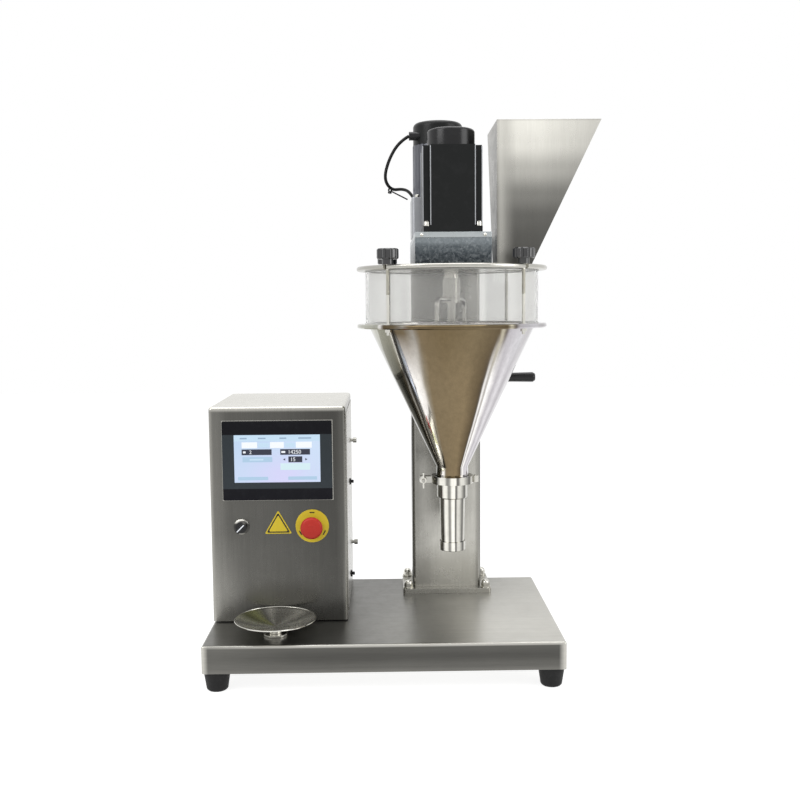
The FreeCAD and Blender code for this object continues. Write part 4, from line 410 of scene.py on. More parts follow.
def column_painted_light(finish):
    # Painted light and shade: dark edges and painted reflections lighter in the middle, the lower part
    # painted lighter still.
    low, high = corners("column_tube")
    foot = tones(finish, "X", ((low.x, 0.20), (low.x + 0.008, 0.44), (low.x + 0.060, 0.60),
                               (high.x - 0.014, 0.58), (high.x - 0.006, 0.34), (high.x, 0.22)))
    middle_part = tones(finish, "X", ((low.x, 0.13), (low.x + 0.006, 0.24), (low.x + 0.030, 0.34),
                                      (low.x + 0.070, 0.40), (low.x + 0.095, 0.34),
                                      (high.x - 0.014, 0.46), (high.x - 0.006, 0.30), (high.x, 0.20)))
    return finish.blend(share(finish, "Z", low.z + 0.04, low.z + 0.16), foot, middle_part)


def chute_painted_light(finish):
    # Painted light and shade: the front painted dark below and lighter towards the top with a painted
    # highlight under the rim, a painted highlight strip down the left edge, painted shade towards the right,
    # and the left face darker below.
    low, high = CHUTE_LOW, CHUTE_HIGH
    ahead = tones(finish, "Z", ((low.z, 0.085), (low.z + 0.045, 0.11), (low.z + 0.085, 0.14),
                                (low.z + 0.125, 0.24), (low.z + 0.170, 0.50), (low.z + 0.215, 0.82),
                                (high.z - 0.004, 0.92), (high.z, 0.70)))
    strip = tones(finish, "X", ((low.x, 0.34), (low.x + 0.006, 0.62), (low.x + 0.020, 0.42),
                                (low.x + 0.034, 0.22)))
    lit = maths(finish.tree, "MULTIPLY", share(finish, "X", low.x + 0.034, low.x + 0.012), 0.55)
    shaded = maths(finish.tree, "MULTIPLY", share(finish, "X", low.x + 0.075, low.x + 0.175), 0.35)
    ahead = finish.blend(shaded, finish.blend(lit, ahead, strip), warm(0.12))
    aside = tones(finish, "Z", ((low.z, 0.20), (high.z, 0.36)))
    return finish.blend(share(finish, "Y", low.y + 0.002, low.y + 0.005), ahead, aside)


def dark_chrome_painted_highlights_tone(finish):
    # Painted reflections on the chrome bezel: dark in the middle, a painted highlight along the top and a
    # fainter one along the bottom.
    low, high = corners("selector_bezel")
    return tones(finish, "Z", ((low.z, 0.30), (low.z + 0.004, 0.06), (high.z - 0.010, 0.05),
                               (high.z - 0.004, 0.70), (high.z, 0.90)))


# Colours of the reflections painted into the polished cone's colour.
OLIVE = (0.066, 0.064, 0.045)
PALE_OLIVE = (0.43, 0.43, 0.37)
BROWN = (0.175, 0.133, 0.078)
DEEP_BROWN = (0.105, 0.078, 0.045)
LAVENDER = (0.42, 0.40, 0.42)
BRIGHT = (0.90, 0.88, 0.86)

finishes = {
    "base_sheet": satin("base_sheet", base_painted_light, (0.03, 1.2, 1.2), (0.28, 0.40)),
    "box_sheet": satin("box_sheet", box_painted_light, (1.2, 1.2, 0.03), (0.24, 0.36)),
    "side_sheet": satin("side_sheet", even(0.36, 0.46, "Z", 0.1, 0.5), (1.2, 1.2, 0.03)),
    "column_sheet": satin("column_sheet", column_painted_light, (1.2, 1.2, 0.03), (0.20, 0.32)),
    "satin_plate": satin("satin_plate", even(0.46, 0.52, "X", -0.05, 0.3), (0.03, 1.2, 1.2),
                         (0.16, 0.28)),
    "foot_plate": satin("foot_plate", even(0.42, 0.50, "X", 0.02, 0.24), (0.03, 1.2, 1.2)),
    "chute_sheet": satin("chute_sheet", chute_painted_light, (1.1, 1.1, 0.04), (0.26, 0.38), depth=0.5),
    "bright_steel": satin("bright_steel", even(0.62, 0.66), (0.5, 0.5, 0.5), (0.10, 0.22), 1.0, 0.3,
                          0.04),
    "dark_chrome_painted_highlights": satin("dark_chrome_painted_highlights", dark_chrome_painted_highlights_tone, (0.5, 0.5, 0.5), (0.10, 0.2), 1.0, 0.2, 0.03),
    "grey_casting": satin("grey_casting", even((0.12, 0.125, 0.14), (0.15, 0.155, 0.175)),
                          (0.4, 0.4, 0.4), (0.30, 0.45), 0.6, 0.4, 0.05),
    "silver_casting": satin("silver_casting", even((0.36, 0.37, 0.39), (0.42, 0.43, 0.45)),
                            (0.5, 0.5, 1.0), (0.28, 0.42), 0.7, 0.4, 0.08),
    "black_plastic": moulded("black_plastic", (0.006, 0.006, 0.007), (0.03, 0.03, 0.03), (0.16, 0.28),
                             Specular_IOR_Level=0.35),
    "knob_plastic": moulded("knob_plastic", (0.006, 0.006, 0.007), (0.03, 0.03, 0.03), (0.10, 0.18),
                            Specular_IOR_Level=0.9),
    "black_paint": moulded("black_paint", (0.007, 0.008, 0.008), (0.03, 0.03, 0.032), (0.26, 0.38),
                           700.0, 0.2, Specular_IOR_Level=0.22),
    "black_rubber": moulded("black_rubber", (0.010, 0.010, 0.010), (0.07, 0.07, 0.07), (0.5, 0.7),
                            Specular_IOR_Level=0.3),
    "white_nylon": moulded("white_nylon", (0.80, 0.79, 0.74), (0.60, 0.58, 0.52)),
    "white_silicone": moulded("white_silicone", (0.74, 0.74, 0.72), (0.6, 0.6, 0.58)),
    "bronze": moulded("bronze", (0.50, 0.34, 0.15), (0.30, 0.19, 0.08), (0.3, 0.45), 600.0, 0.1,
                      metallic=0.9),
    "red_plastic": moulded("red_plastic", (0.60, 0.038, 0.026), (0.55, 0.08, 0.06), (0.34, 0.46),
                           Specular_IOR_Level=0.3),
    "yellow_plastic": moulded("yellow_plastic", (0.86, 0.66, 0.045), (0.74, 0.56, 0.09), (0.35, 0.5),
                              Specular_IOR_Level=0.3),
    # The cone's painted reflections: colour bands round its axis, with a second set for the upper part.
    "cone_polish_painted_reflections": mirror("cone_polish_painted_reflections", AXIS, (
        (-180, LAVENDER), (-120, PALE_OLIVE), (-88, OLIVE), (-60, OLIVE), (-55, DEEP_BROWN),
        (-52, BRIGHT), (-50, (0.12, 0.10, 0.08)), (-48, (0.12, 0.10, 0.08)), (-46, BRIGHT),
        (-33, (0.70, 0.67, 0.63)), (-29, (0.24, 0.21, 0.16)), (-24, BROWN), (10, (0.20, 0.15, 0.086)),
        (24, DEEP_BROWN), (28, (0.07, 0.055, 0.04)), (30, BRIGHT), (33, (0.20, 0.18, 0.16)),
        (35, BRIGHT), (43, LAVENDER), (50, (0.62, 0.60, 0.62)), (58, (0.36, 0.34, 0.36)),
        (66, (0.55, 0.53, 0.55)), (84, (0.33, 0.32, 0.33)), (120, BROWN), (180, LAVENDER)), (
        (-180, LAVENDER), (-120, PALE_OLIVE), (-62, PALE_OLIVE), (-52, (0.36, 0.36, 0.31)),
        (-50, BRIGHT), (-47, DEEP_BROWN), (-38, (0.13, 0.10, 0.06)), (-31, (0.26, 0.24, 0.21)),
        (-27, (0.16, 0.12, 0.07)), (-10, (0.137, 0.101, 0.054)), (12, (0.17, 0.13, 0.075)),
        (30, DEEP_BROWN), (33, (0.50, 0.46, 0.36)), (36, (0.09, 0.07, 0.05)), (40, LAVENDER),
        (56, (0.55, 0.54, 0.56)), (66, (0.36, 0.34, 0.35)), (86, (0.44, 0.43, 0.44)),
        (120, BROWN), (180, LAVENDER)), (0.535, 0.625)),
    # Painted reflections on the clamp, nozzle and outlet ring: light and dark stripes round the axis.
    "outlet_polish_painted_reflections": mirror("outlet_polish_painted_reflections", AXIS, (
        (-180, 0.40), (-120, 0.16), (-90, 0.46), (-60, 0.34), (-53, 0.10), (-44, 0.30), (-37, 0.74),
        (-25, 0.66), (-18, 0.20), (-11, 0.26), (-5, 0.80), (6, 0.84), (10, 0.12), (14, 0.16),
        (20, 0.58), (30, 0.54), (41, 0.26), (51, 0.08), (60, 0.50), (90, 0.50), (130, 0.12),
        (180, 0.40)), waver=0.003),
    # Painted reflections in the dish: light and dark bands round its axis.
    "dish_polish_painted_reflections": mirror("dish_polish_painted_reflections", middle("dish"), (
        (-180, 0.50), (-168, 0.95), (-155, 0.40), (-140, (0.70, 0.72, 0.36)), (-120, (0.36, 0.37, 0.20)),
        (-100, (0.95, 0.95, 0.76)), (-80, 0.50), (-58, 0.95), (-34, 0.50), (-12, 0.80), (14, 0.45),
        (40, 0.80), (70, 0.50), (96, 0.98), (118, 0.50), (138, 0.98), (158, 0.55), (180, 0.50)),
        roughness=(0.24, 0.34), waver=0.02),
}


def make_zinc():
    finish = Finish("zinc_sheet", (0.16, 0.19, 0.24), metallic=0.85)
    spangle = finish.effect(SPANGLE, finish.object_point, Size=260.0)
    clouds = finish.effect(CLOUDS, finish.object_point, Size=30.0)
    low, high = HEAD_LOW.z, HEAD_HIGH.z
    # Painted light and shade on the head box: a painted highlight along the lower edge, painted shade above
    # it that grows lighter towards the top, and the motor plate above painted lighter.
    tone = tones(finish, "Z", ((low, (0.075, 0.09, 0.10)), (low + 0.005, (0.022, 0.028, 0.033)),
                               (low + 0.016, (0.030, 0.038, 0.045)), (low + 0.032, (0.085, 0.10, 0.11)),
                               (high - 0.006, (0.19, 0.215, 0.23)), (high - 0.001, (0.20, 0.225, 0.24)),
                               (high + 0.001, (0.46, 0.49, 0.50)), (high + 0.010, (0.42, 0.45, 0.46))))
    flecks = maths(finish.tree, "MULTIPLY", maths(finish.tree, "MULTIPLY", spangle["Flake"],
                                                  clouds["Smudge"]), 0.42)
    finish.colour(finish.blend(flecks, tone, (0.55, 0.59, 0.61)))
    finish.roughness(spangle["Flake"], 0.26, 0.44)
    finish.bump(spangle["Height"], 0.06)
    return finish


def make_acrylic():
    finish = Finish("clear_acrylic", (0.93, 0.95, 0.95), roughness=0.04, IOR=1.25)
    finish.shader.inputs["Transmission Weight"].default_value = 0.86
    grain = finish.effect(GRAIN, finish.object_point, Size=500.0)
    # Painted reflections round the clear cylinder: lighter and darker bands, the white ones painted
    # highlights.
    painted_reflection_levels = ((-180, 0.97), (-90, 0.86), (-70, 0.96), (-44, 0.98), (-34, 0.88), (-29, 1.0), (-22, 0.92),
              (4, 0.90), (8, 1.0), (17, 1.0), (19, 0.84), (33, 0.86), (37, 1.0), (60, 0.97), (80, 0.88),
              (120, 0.97), (180, 0.97))
    bands = ramp(finish, azimuth(finish, AXIS), angle_stops(
        [(degrees, (level, level, level * 0.985)) for degrees, level in painted_reflection_levels]), "LINEAR")
    finish.colour(bands)
    finish.roughness(grain["Dust"], 0.03, 0.10)
    return finish


def make_panel():
    """The bezel: black at head and foot, slate beside the screen."""
    finish = Finish("panel_plastic", (0.012, 0.012, 0.015), Specular_IOR_Level=0.08)
    low, high = PANEL_LOW.z, PANEL_HIGH.z
    grain = finish.effect(GRAIN, finish.object_point, Size=900.0)
    tone = tones(finish, "Z", ((low, (0.010, 0.010, 0.014)), (low + 0.0215, (0.012, 0.012, 0.016)),
                               (low + 0.0220, (0.052, 0.063, 0.072)), (high - 0.0250, (0.048, 0.058, 0.066)),
                               (high - 0.0245, (0.010, 0.010, 0.013)), (high, (0.010, 0.010, 0.013))))
    dust = maths(finish.tree, "MULTIPLY", grain["Dust"], 0.10)
    finish.colour(finish.blend(dust, tone, (0.10, 0.11, 0.12)))
    finish.roughness(grain["Height"], 0.10, 0.22)
    return finish


def lit_tile(name, colour, glow=0.80, base=0.30):
    """One colour of the screen's picture, with the fine rows of its dots."""
    finish = Finish(name, colour, roughness=0.2)
    rows = stretched(finish.tree, finish.object_point, (1500, 1, 1500))
    dots = noise_at(finish.tree, rows, 1.0, 0.0)
    tint = finish.blend(dots, colour, tuple(channel * 0.95 for channel in colour))
    finish.colour(finish.blend(dots, tuple(channel * base for channel in colour),
                               tuple(channel * base * 0.9 for channel in colour)))
    finish.tree.links.new(tint, finish.shader.inputs["Emission Color"])
    finish.shader.inputs["Emission Strength"].default_value = glow
    return finish


def make_screen():
    """The screen's ground, blue at the left and lavender below."""
    finish = lit_tile("screen_glass", (0.60, 0.68, 0.90))
    low, high = corners("touch_screen")
    upper = tones(finish, "X", ((low.x, (0.50, 0.66, 0.86)), (high.x, (0.60, 0.74, 0.92))))
    lower = tones(finish, "X", ((low.x, (0.56, 0.68, 0.88)), (low.x + 0.09, (0.66, 0.64, 0.92)),
                                (high.x, (0.60, 0.70, 0.90))))
    tint = finish.blend(share(finish, "Z", low.z + 0.02, high.z - 0.02), lower, upper)
    finish.tree.links.new(tint, finish.shader.inputs["Emission Color"])
    return finish


finishes["zinc_sheet"] = make_zinc()
finishes["clear_acrylic"] = make_acrylic()
finishes["gloss_black"] = make_panel()
finishes["screen_glass"] = make_screen()
for label, shade in (("tile_pale", (0.56, 0.74, 0.90)), ("tile_white", (0.92, 0.96, 1.0)),
                     ("tile_navy", (0.012, 0.016, 0.040)), ("tile_blue", (0.42, 0.60, 0.78)),
                     ("tile_key", (0.66, 0.84, 0.90)), ("tile_grey", (0.30, 0.42, 0.56))):
    finishes[label] = lit_tile(label, shade)

# ---------------------------------------------------------------- the frame's own pieces, finished

NODE_FINISH = {
    "base_pan": "base_sheet", "rubber_feet": "black_rubber", "column_foot_plate": "foot_plate",
    "column_bolts": "bright_steel", "column_tube": "column_sheet", "column_guide": "white_nylon",
    "shaft_bushings": "bronze", "inner_post": "satin_plate", "lift_rack": "bright_steel",
    "post_shoe": "white_nylon", "pinion_shaft": "bright_steel", "crank_arm": "satin_plate",
    "crank_grip": "black_plastic", "head_box": "zinc_sheet", "motor_plate": "zinc_sheet",
    "servo_body": "black_paint", "servo_cap": "black_plastic", "servo_shaft": "bright_steel",
    "stir_gearhead": "silver_casting", "stir_motor_body": "grey_casting",
    "stir_fan_cover": "black_paint", "stir_shaft": "bright_steel", "drive_pulley": "silver_casting",
    "timing_belt": "black_rubber", "driven_pulley": "silver_casting",
    "agitator_quill": "bright_steel", "agitator_frame": "satin_plate",
    "quill_bearing": "bright_steel", "bearing_housing": "silver_casting", "lid_plate": "satin_plate",
    "clear_cylinder": "clear_acrylic", "hopper_gaskets": "white_silicone",
    "hopper_cone": "cone_polish_painted_reflections", "tie_rods": "bright_steel", "star_knob_1": "knob_plastic",
    "star_knob_2": "knob_plastic", "star_knob_3": "knob_plastic", "star_knob_4": "knob_plastic",
    "inlet_chute": "chute_sheet", "clamp_ring": "outlet_polish_painted_reflections", "wing_nut": "bright_steel",
    "nozzle_tube": "outlet_polish_painted_reflections", "outlet_ring": "outlet_polish_painted_reflections",
    "control_box_shell": "box_sheet", "rear_cover": "box_sheet", "side_cover": "side_sheet",
    "touch_panel": "gloss_black", "touch_screen": "screen_glass", "selector_bezel": "dark_chrome_painted_highlights",
    "selector_knob": "black_plastic", "estop_plate": "yellow_plastic", "estop_body": "black_plastic",
    "estop_stem": "black_plastic", "estop_head": "red_plastic", "power_inlet": "black_plastic",
    "dish_stub": "bright_steel", "dish": "dish_polish_painted_reflections", "motor_cable": "black_rubber",
    "cable_glands": "black_plastic", "auger_screw": "satin_plate",
}
BODY_OF = {node: body for body, nodes in frame["record"]["behaviour"]["bodies"].items()
           for node in nodes}
ROUNDED = {
    "base_pan": 0.6, "column_foot_plate": 1.2, "column_tube": 0.4, "crank_arm": 0.8,
    "crank_grip": 0.6, "head_box": 0.7, "motor_plate": 0.8, "servo_body": 0.8, "servo_cap": 0.8,
    "stir_gearhead": 1.0, "stir_motor_body": 0.3, "stir_fan_cover": 0.6, "lid_plate": 0.8,
    "hopper_cone": 0.4, "inlet_chute": 0.25, "clamp_ring": 0.8, "wing_nut": 0.6,
    "nozzle_tube": 0.4, "outlet_ring": 0.4, "control_box_shell": 0.3, "rear_cover": 0.3,
    "side_cover": 0.35, "touch_panel": 1.0, "selector_bezel": 0.6, "selector_knob": 0.8,
    "estop_plate": 0.4, "estop_body": 0.5, "estop_head": 1.2, "power_inlet": 0.5,
    "star_knob_1": 0.6, "star_knob_2": 0.6, "star_knob_3": 0.6, "star_knob_4": 0.6,
    "dish_stub": 0.5, "column_guide": 0.8, "bearing_housing": 0.5, "rubber_feet": 0.8,
    "column_bolts": 0.3, "tie_rods": 0.2, "cable_glands": 0.5, "dish": 0.25,
    "clear_cylinder": 0.4, "hopper_gaskets": 0.2,
}


def settle(mesh, bm, finish, sharp=32):
    """Smooth faces, sharp edges kept, one finish."""
    for face in bm.faces:
        face.smooth = True
    for edge in bm.edges:
        if len(edge.link_faces) == 2:
            edge.smooth = edge.calc_face_angle(0) < math.radians(sharp)
    bm.to_mesh(mesh)
    bm.free()
    mesh.materials.clear()
    mesh.materials.append(finishes[finish].material)


def piece(name, bm, finish, body, weighted=False, sharp=32):
    mesh = bpy.data.meshes.new(name)
    settle(mesh, bm, finish, sharp)
    item = show(bpy.data.objects.new(name, mesh))
    if weighted:
        normals = item.modifiers.new("weighted", "WEIGHTED_NORMAL")
        normals.keep_sharp = True
    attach(item, body)
    return item


def refine(node, round_mm):
    """A merged copy of a frame piece with its edges broken, as a fitter leaves them."""
    bm = bmesh.new()
    bm.from_mesh(frame["nodes"][node].data)
    bmesh.ops.remove_doubles(bm, verts=bm.verts, dist=2e-6)
    bmesh.ops.dissolve_limit(bm, angle_limit=math.radians(0.3), verts=bm.verts, edges=bm.edges)
    edges = [edge for edge in bm.edges if len(edge.link_faces) == 2
             and edge.calc_face_angle(0) > math.radians(35)]
    bmesh.ops.bevel(bm, geom=edges, offset=round_mm * mm, offset_type="OFFSET", segments=2,
                    profile=0.5, affect="EDGES", clamp_overlap=True, material=-1)
    item = piece(f"{node}_finished", bm, NODE_FINISH[node], BODY_OF[node], weighted=True, sharp=50)
    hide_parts(node)


for node, finish in NODE_FINISH.items():
    if node in ROUNDED:
        refine(node, ROUNDED[node])
    elif node != "motor_cable":
        source = frame["nodes"][node].data
        source.materials.clear()
        source.materials.append(finishes[finish].material)

# ---------------------------------------------------------------- the motor's lead

# The route repeats the CAD one, in mm: steps left, back and down from the gland on the fan cover.
STIR_MOTOR_X, COVER_RADIUS, GLAND_OFFSET, GLAND_REACH = 111, 47, 23.5, 15
GLAND_MOUTH = (STIR_MOTOR_X - math.sqrt(COVER_RADIUS ** 2 - GLAND_OFFSET ** 2) - GLAND_REACH, 16.5, 991)
LEAD_STEPS = ((18, -1, 10), (38, 1, 42), (48, 8, 78), (34, 22, 98),
              (12, 52, 92), (-3, 88, 94), (-15, 122, 110), (-20, 138.5, 143))
CABLE_ROUTE = [GLAND_MOUTH] + [(GLAND_MOUTH[0] - left, GLAND_MOUTH[1] + back, GLAND_MOUTH[2] - down)
                               for left, back, down in LEAD_STEPS] + [(75, 156, 817)]
LEAD_RADIUS = 3


def make_cable():
    curve = bpy.data.curves.new("motor_lead", "CURVE")
    curve.dimensions = "3D"
    curve.bevel_depth = LEAD_RADIUS * mm
    curve.bevel_resolution = 5
    curve.resolution_u = 12
    curve.use_fill_caps = True
    spline = curve.splines.new("NURBS")
    spline.points.add(len(CABLE_ROUTE) - 1)
    for point, place in zip(spline.points, CABLE_ROUTE):
        point.co = (place[0] * mm, place[1] * mm, place[2] * mm, 1)
    spline.order_u = 3
    spline.use_endpoint_u = True
    curve.materials.append(finishes["black_rubber"].material)
    lead = show(bpy.data.objects.new("motor_lead", curve))
    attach(lead, "head")
    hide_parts("motor_cable")


make_cable()

# ---------------------------------------------------------------- small pieces


def box_shape(low, high, edge=0.0):
    """A block between two corners, its edges rounded by edge."""
    bm = bmesh.new()
    bmesh.ops.create_cube(bm, size=1.0)
    size = Vector(high) - Vector(low)
    bmesh.ops.scale(bm, vec=size, verts=bm.verts)
    bmesh.ops.translate(bm, vec=(Vector(high) + Vector(low)) / 2, verts=bm.verts)
    if edge:
        bmesh.ops.bevel(bm, geom=bm.edges[:], offset=edge, offset_type="OFFSET", segments=2,
                        profile=0.5, affect="EDGES", clamp_overlap=True, material=-1)
    return bm


FACING = {
    "+z": Matrix.Identity(4), "-z": Matrix.Rotation(math.pi, 4, "X"),
    "-y": Matrix.Rotation(math.pi / 2, 4, "X"), "+y": Matrix.Rotation(-math.pi / 2, 4, "X"),
    "+x": Matrix.Rotation(math.pi / 2, 4, "Y"), "-x": Matrix.Rotation(-math.pi / 2, 4, "Y"),
}


def turned_shape(profile, place, facing="+z", steps=48):
    """A closed turned shape from (radius, height) points, from the axis at its foot to its top."""
    bm = bmesh.new()
    points = [bm.verts.new((radius, 0, height)) for radius, height in profile]
    edges = [bm.edges.new(pair) for pair in zip(points, points[1:])]
    bmesh.ops.spin(bm, geom=points + edges, cent=(0, 0, 0), axis=(0, 0, 1), angle=2 * math.pi,
                   steps=steps, use_merge=True)
    bmesh.ops.remove_doubles(bm, verts=bm.verts, dist=1e-6)
    bmesh.ops.recalc_face_normals(bm, faces=bm.faces)
    bmesh.ops.transform(bm, matrix=Matrix.Translation(place) @ FACING[facing], verts=bm.verts)
    return bm


def prism(radius, height, turn=0.0):
    """A three-cornered plate lying on the XY plane."""
    bm = bmesh.new()
    bmesh.ops.create_circle(bm, cap_ends=True, segments=3, radius=radius)
    bmesh.ops.rotate(bm, cent=(0, 0, 0), matrix=Matrix.Rotation(turn, 3, "Z"), verts=bm.verts)
    lift = bmesh.ops.extrude_face_region(bm, geom=bm.faces[:])
    bmesh.ops.translate(bm, vec=(0, 0, height),
                        verts=[item for item in lift["geom"] if isinstance(item, bmesh.types.BMVert)])
    bmesh.ops.recalc_face_normals(bm, faces=bm.faces)
    return bm


def joined(shapes):
    """Several shapes as one, the sources freed."""
    whole = bmesh.new()
    for shape in shapes:
        mesh = bpy.data.meshes.new("part")
        shape.to_mesh(mesh)
        shape.free()
        whole.from_mesh(mesh)
        bpy.data.meshes.remove(mesh)
    return whole


def cap_screw(place, facing, radius, height):
    """A socket head screw."""
    well = radius * 0.5
    return turned_shape([(0, height * 0.35), (well, height * 0.35), (well, height),
                         (radius * 0.85, height), (radius, height * 0.8), (radius, 0), (0, 0)],
                        place, facing, 20)


def dome_screw(place, facing, radius, height):
    """A button head screw with its socket."""
    return turned_shape([(0, height * 0.45), (radius * 0.35, height * 0.45), (radius * 0.38, height),
                         (radius * 0.7, height * 0.8), (radius, height * 0.25), (radius, 0), (0, 0)],
                        place, facing, 20)


LATCH_HEIGHTS = (0.315, 0.128)


def make_side_latches():
    side = corners("side_cover")[0].x + 1.5 * mm
    latches = []
    for up in LATCH_HEIGHTS:
        latches += [box_shape((side, 0.058, up + 0.004), (side + 0.003, 0.068, up + 0.016), 0.001),
                    box_shape((side + 0.003, 0.060, up + 0.007), (side + 0.008, 0.066, up + 0.013),
                              0.001)]
    piece("side_latches", joined(latches), "black_plastic", "base")


def make_rear_screws():
    """Eight screws round the rear cover."""
    low, high = BOX_LOW, BOX_HIGH
    centre = (PANEL_LOW.x + PANEL_HIGH.x) / 2
    halfway = (low.z + high.z) / 2
    screws = [dome_screw((across, high.y, up), "+y", 0.004, 0.0022)
              for across in (low.x + 0.012, centre, high.x - 0.012)
              for up in (low.z + 0.016, halfway, high.z - 0.014)
              if across != centre or up != halfway]
    piece("rear_screws", joined(screws), "bright_steel", "base")


def make_triangle_sign():
    """A plain yellow triangle with a dark border."""
    place = ((PANEL_LOW.x + PANEL_HIGH.x) / 2 - 0.001, BOX_LOW.y, middle("selector_bezel").z + 0.0005)
    for size, proud, finish, name in ((0.0292, 0.0005, "yellow_plastic", "triangle_plate"),
                                      (0.0250, 0.0008, "black_plastic", "triangle_border"),
                                      (0.0205, 0.0011, "yellow_plastic", "triangle_field")):
        bm = prism(size, proud)
        upright = [edge for edge in bm.edges if abs(edge.verts[0].co.z - edge.verts[1].co.z) > 1e-5]
        bmesh.ops.bevel(bm, geom=upright, offset=0.003, offset_type="OFFSET", segments=3,
                        profile=0.5, affect="EDGES", clamp_overlap=True, material=-1)
        bmesh.ops.transform(bm, matrix=Matrix.Translation(place) @ FACING["-y"], verts=bm.verts)
        piece(name, bm, finish, "base")


def make_screen_picture():
    """Generic tabs, value bars and buttons on the screen."""
    low, high = corners("touch_screen")
    face = low.y
    wide, tall = high.x - low.x, high.z - low.z

    def tile(name, left, bottom, right, top, finish, proud=0.0003):
        shape = box_shape((low.x + left * wide, face - proud, low.z + bottom * tall),
                          (low.x + right * wide, face, low.z + top * tall))
        piece(name, shape, finish, "base")

    def figures(name, text, left, bottom, size, finish):
        curve = bpy.data.curves.new(name, "FONT")
        curve.body = text
        curve.size = size
        curve.extrude = 0.0001
        item = show(bpy.data.objects.new(name, curve))
        bpy.context.view_layer.update()
        mesh = bpy.data.meshes.new_from_object(item)
        bpy.data.objects.remove(item)
        bm = bmesh.new()
        bm.from_mesh(mesh)
        bpy.data.meshes.remove(mesh)
        place = Vector((low.x + left * wide, face - 0.0004, low.z + bottom * tall))
        bmesh.ops.transform(bm, matrix=Matrix.Translation(place) @ FACING["-y"], verts=bm.verts)
        piece(name, bm, finish, "base")

    tile("screen_top_bar", 0.0, 0.87, 1.0, 1.0, "tile_pale")
    for number, (left, right) in enumerate(((0.07, 0.15), (0.28, 0.37), (0.53, 0.61), (0.75, 0.90))):
        tile(f"screen_heading_{number}", left, 0.915, right, 0.945, "tile_grey", 0.0004)
    for number, (left, right) in enumerate(((0.09, 0.27), (0.42, 0.58), (0.72, 0.905))):
        tile(f"screen_tab_{number}", left, 0.725, right, 0.85, "tile_white")
    for number, (left, right) in enumerate(((0.285, 0.405), (0.595, 0.705))):
        tile(f"screen_label_{number}", left, 0.745, right, 0.83, "tile_pale")
    for number, (left, low_edge, right, high_edge) in enumerate((
            (0.088, 0.58, 0.437, 0.70), (0.537, 0.58, 0.883, 0.70), (0.630, 0.42, 0.792, 0.545))):
        tile(f"screen_value_{number}", left, low_edge, right, high_edge, "tile_navy")
    for number, (value, left, low_edge) in enumerate((("2", 0.175, 0.603), ("14250", 0.625, 0.603),
                                                      ("15", 0.652, 0.445))):
        figures(f"screen_figures_{number}", value, left, low_edge, 0.0098, "tile_white")
    tile("screen_unit_0", 0.105, 0.62, 0.135, 0.66, "tile_white", 0.0005)
    tile("screen_unit_1", 0.550, 0.62, 0.595, 0.66, "tile_white", 0.0005)
    tile("screen_button_0", 0.097, 0.43, 0.443, 0.54, "tile_blue")
    tile("screen_button_text", 0.18, 0.465, 0.34, 0.50, "tile_pale", 0.0005)
    tile("screen_button_1", 0.537, 0.26, 0.883, 0.40, "tile_key")
    tile("screen_line_0", 0.04, 0.05, 0.39, 0.12, "tile_blue")
    tile("screen_line_1", 0.625, 0.05, 0.96, 0.12, "tile_blue")
    for number, (across, turn) in enumerate(((0.585, 1), (0.835, -1))):
        arrow = prism(0.0026, 0.0003, turn * math.pi / 2)
        place = Vector((low.x + across * wide, face, low.z + 0.482 * tall))
        bmesh.ops.transform(arrow, matrix=Matrix.Translation(place) @ FACING["-y"], verts=arrow.verts)
        piece(f"screen_arrow_{number}", arrow, "tile_navy", "base")


def make_control_details():
    centre = middle("selector_knob")
    # The white mark takes a glowing screen colour, so it carries a painted glow.
    mark = box_shape((-0.0009, -0.0003, -0.0092), (0.0009, 0.0, 0.0092), 0.0002)
    bmesh.ops.transform(mark, matrix=Matrix.Translation((centre.x, corners("selector_knob")[0].y, centre.z))
                        @ Matrix.Rotation(math.radians(45), 4, "Y"), verts=mark.verts)
    piece("selector_mark", mark, "tile_white", "selector")
    centre = middle("estop_head")
    dimple = turned_shape([(0, 0.0004), (0.0075, 0.0004), (0.008, 0.0), (0, 0)],
                          (centre.x, corners("estop_head")[0].y, centre.z), "-y", 40)
    piece("estop_dimple", dimple, "red_plastic", "stop_button")
    ticks = []
    plate = corners("estop_plate")[0].y
    reach = 0.0255
    for number in range(3):
        angle = math.radians(90 + 120 * number)
        tick = box_shape((-0.0045, -0.0004, -0.0010), (0.0045, 0.0, 0.0010), 0.0002)
        place = Vector((centre.x + reach * math.cos(angle), plate, centre.z + reach * math.sin(angle)))
        bmesh.ops.transform(tick, matrix=Matrix.Translation(place)
                            @ Matrix.Rotation(-angle + math.pi / 2, 4, "Y"), verts=tick.verts)
        ticks.append(tick)
    piece("estop_ticks", joined(ticks), "black_plastic", "base")


def make_head_details():
    low, high = corners("motor_plate")
    behind_servo = 0.115
    front_screws = [dome_screw((x, low.y, low.z + 0.005), "-y", 0.003, 0.002)
                    for x in (low.x + 0.012, high.x - 0.012)]
    plate_screws = [cap_screw((x, y, high.z), "+z", 0.0055, 0.005)
                    for x in (low.x + 0.009, high.x - 0.009)
                    for y in (behind_servo, high.y - 0.012)]
    flange_low, flange_high = corners("inner_post")
    post_screws = [cap_screw((x, flange_low.y + 0.007, flange_high.z), "+z", 0.005, 0.005)
                   for x in (flange_low.x + 0.007, flange_high.x - 0.007)]
    piece("head_screws", joined(front_screws + plate_screws + post_screws), "bright_steel", "head")
    gear_low, gear_high = corners("stir_gearhead")
    bolts = [cap_screw((x, y, gear_high.z), "+z", 0.0048, 0.005)
             for x in (gear_low.x + 0.011, gear_high.x - 0.011)
             for y in (gear_low.y + 0.011, gear_high.y - 0.011)]
    piece("gearhead_bolts", joined(bolts), "bright_steel", "head")


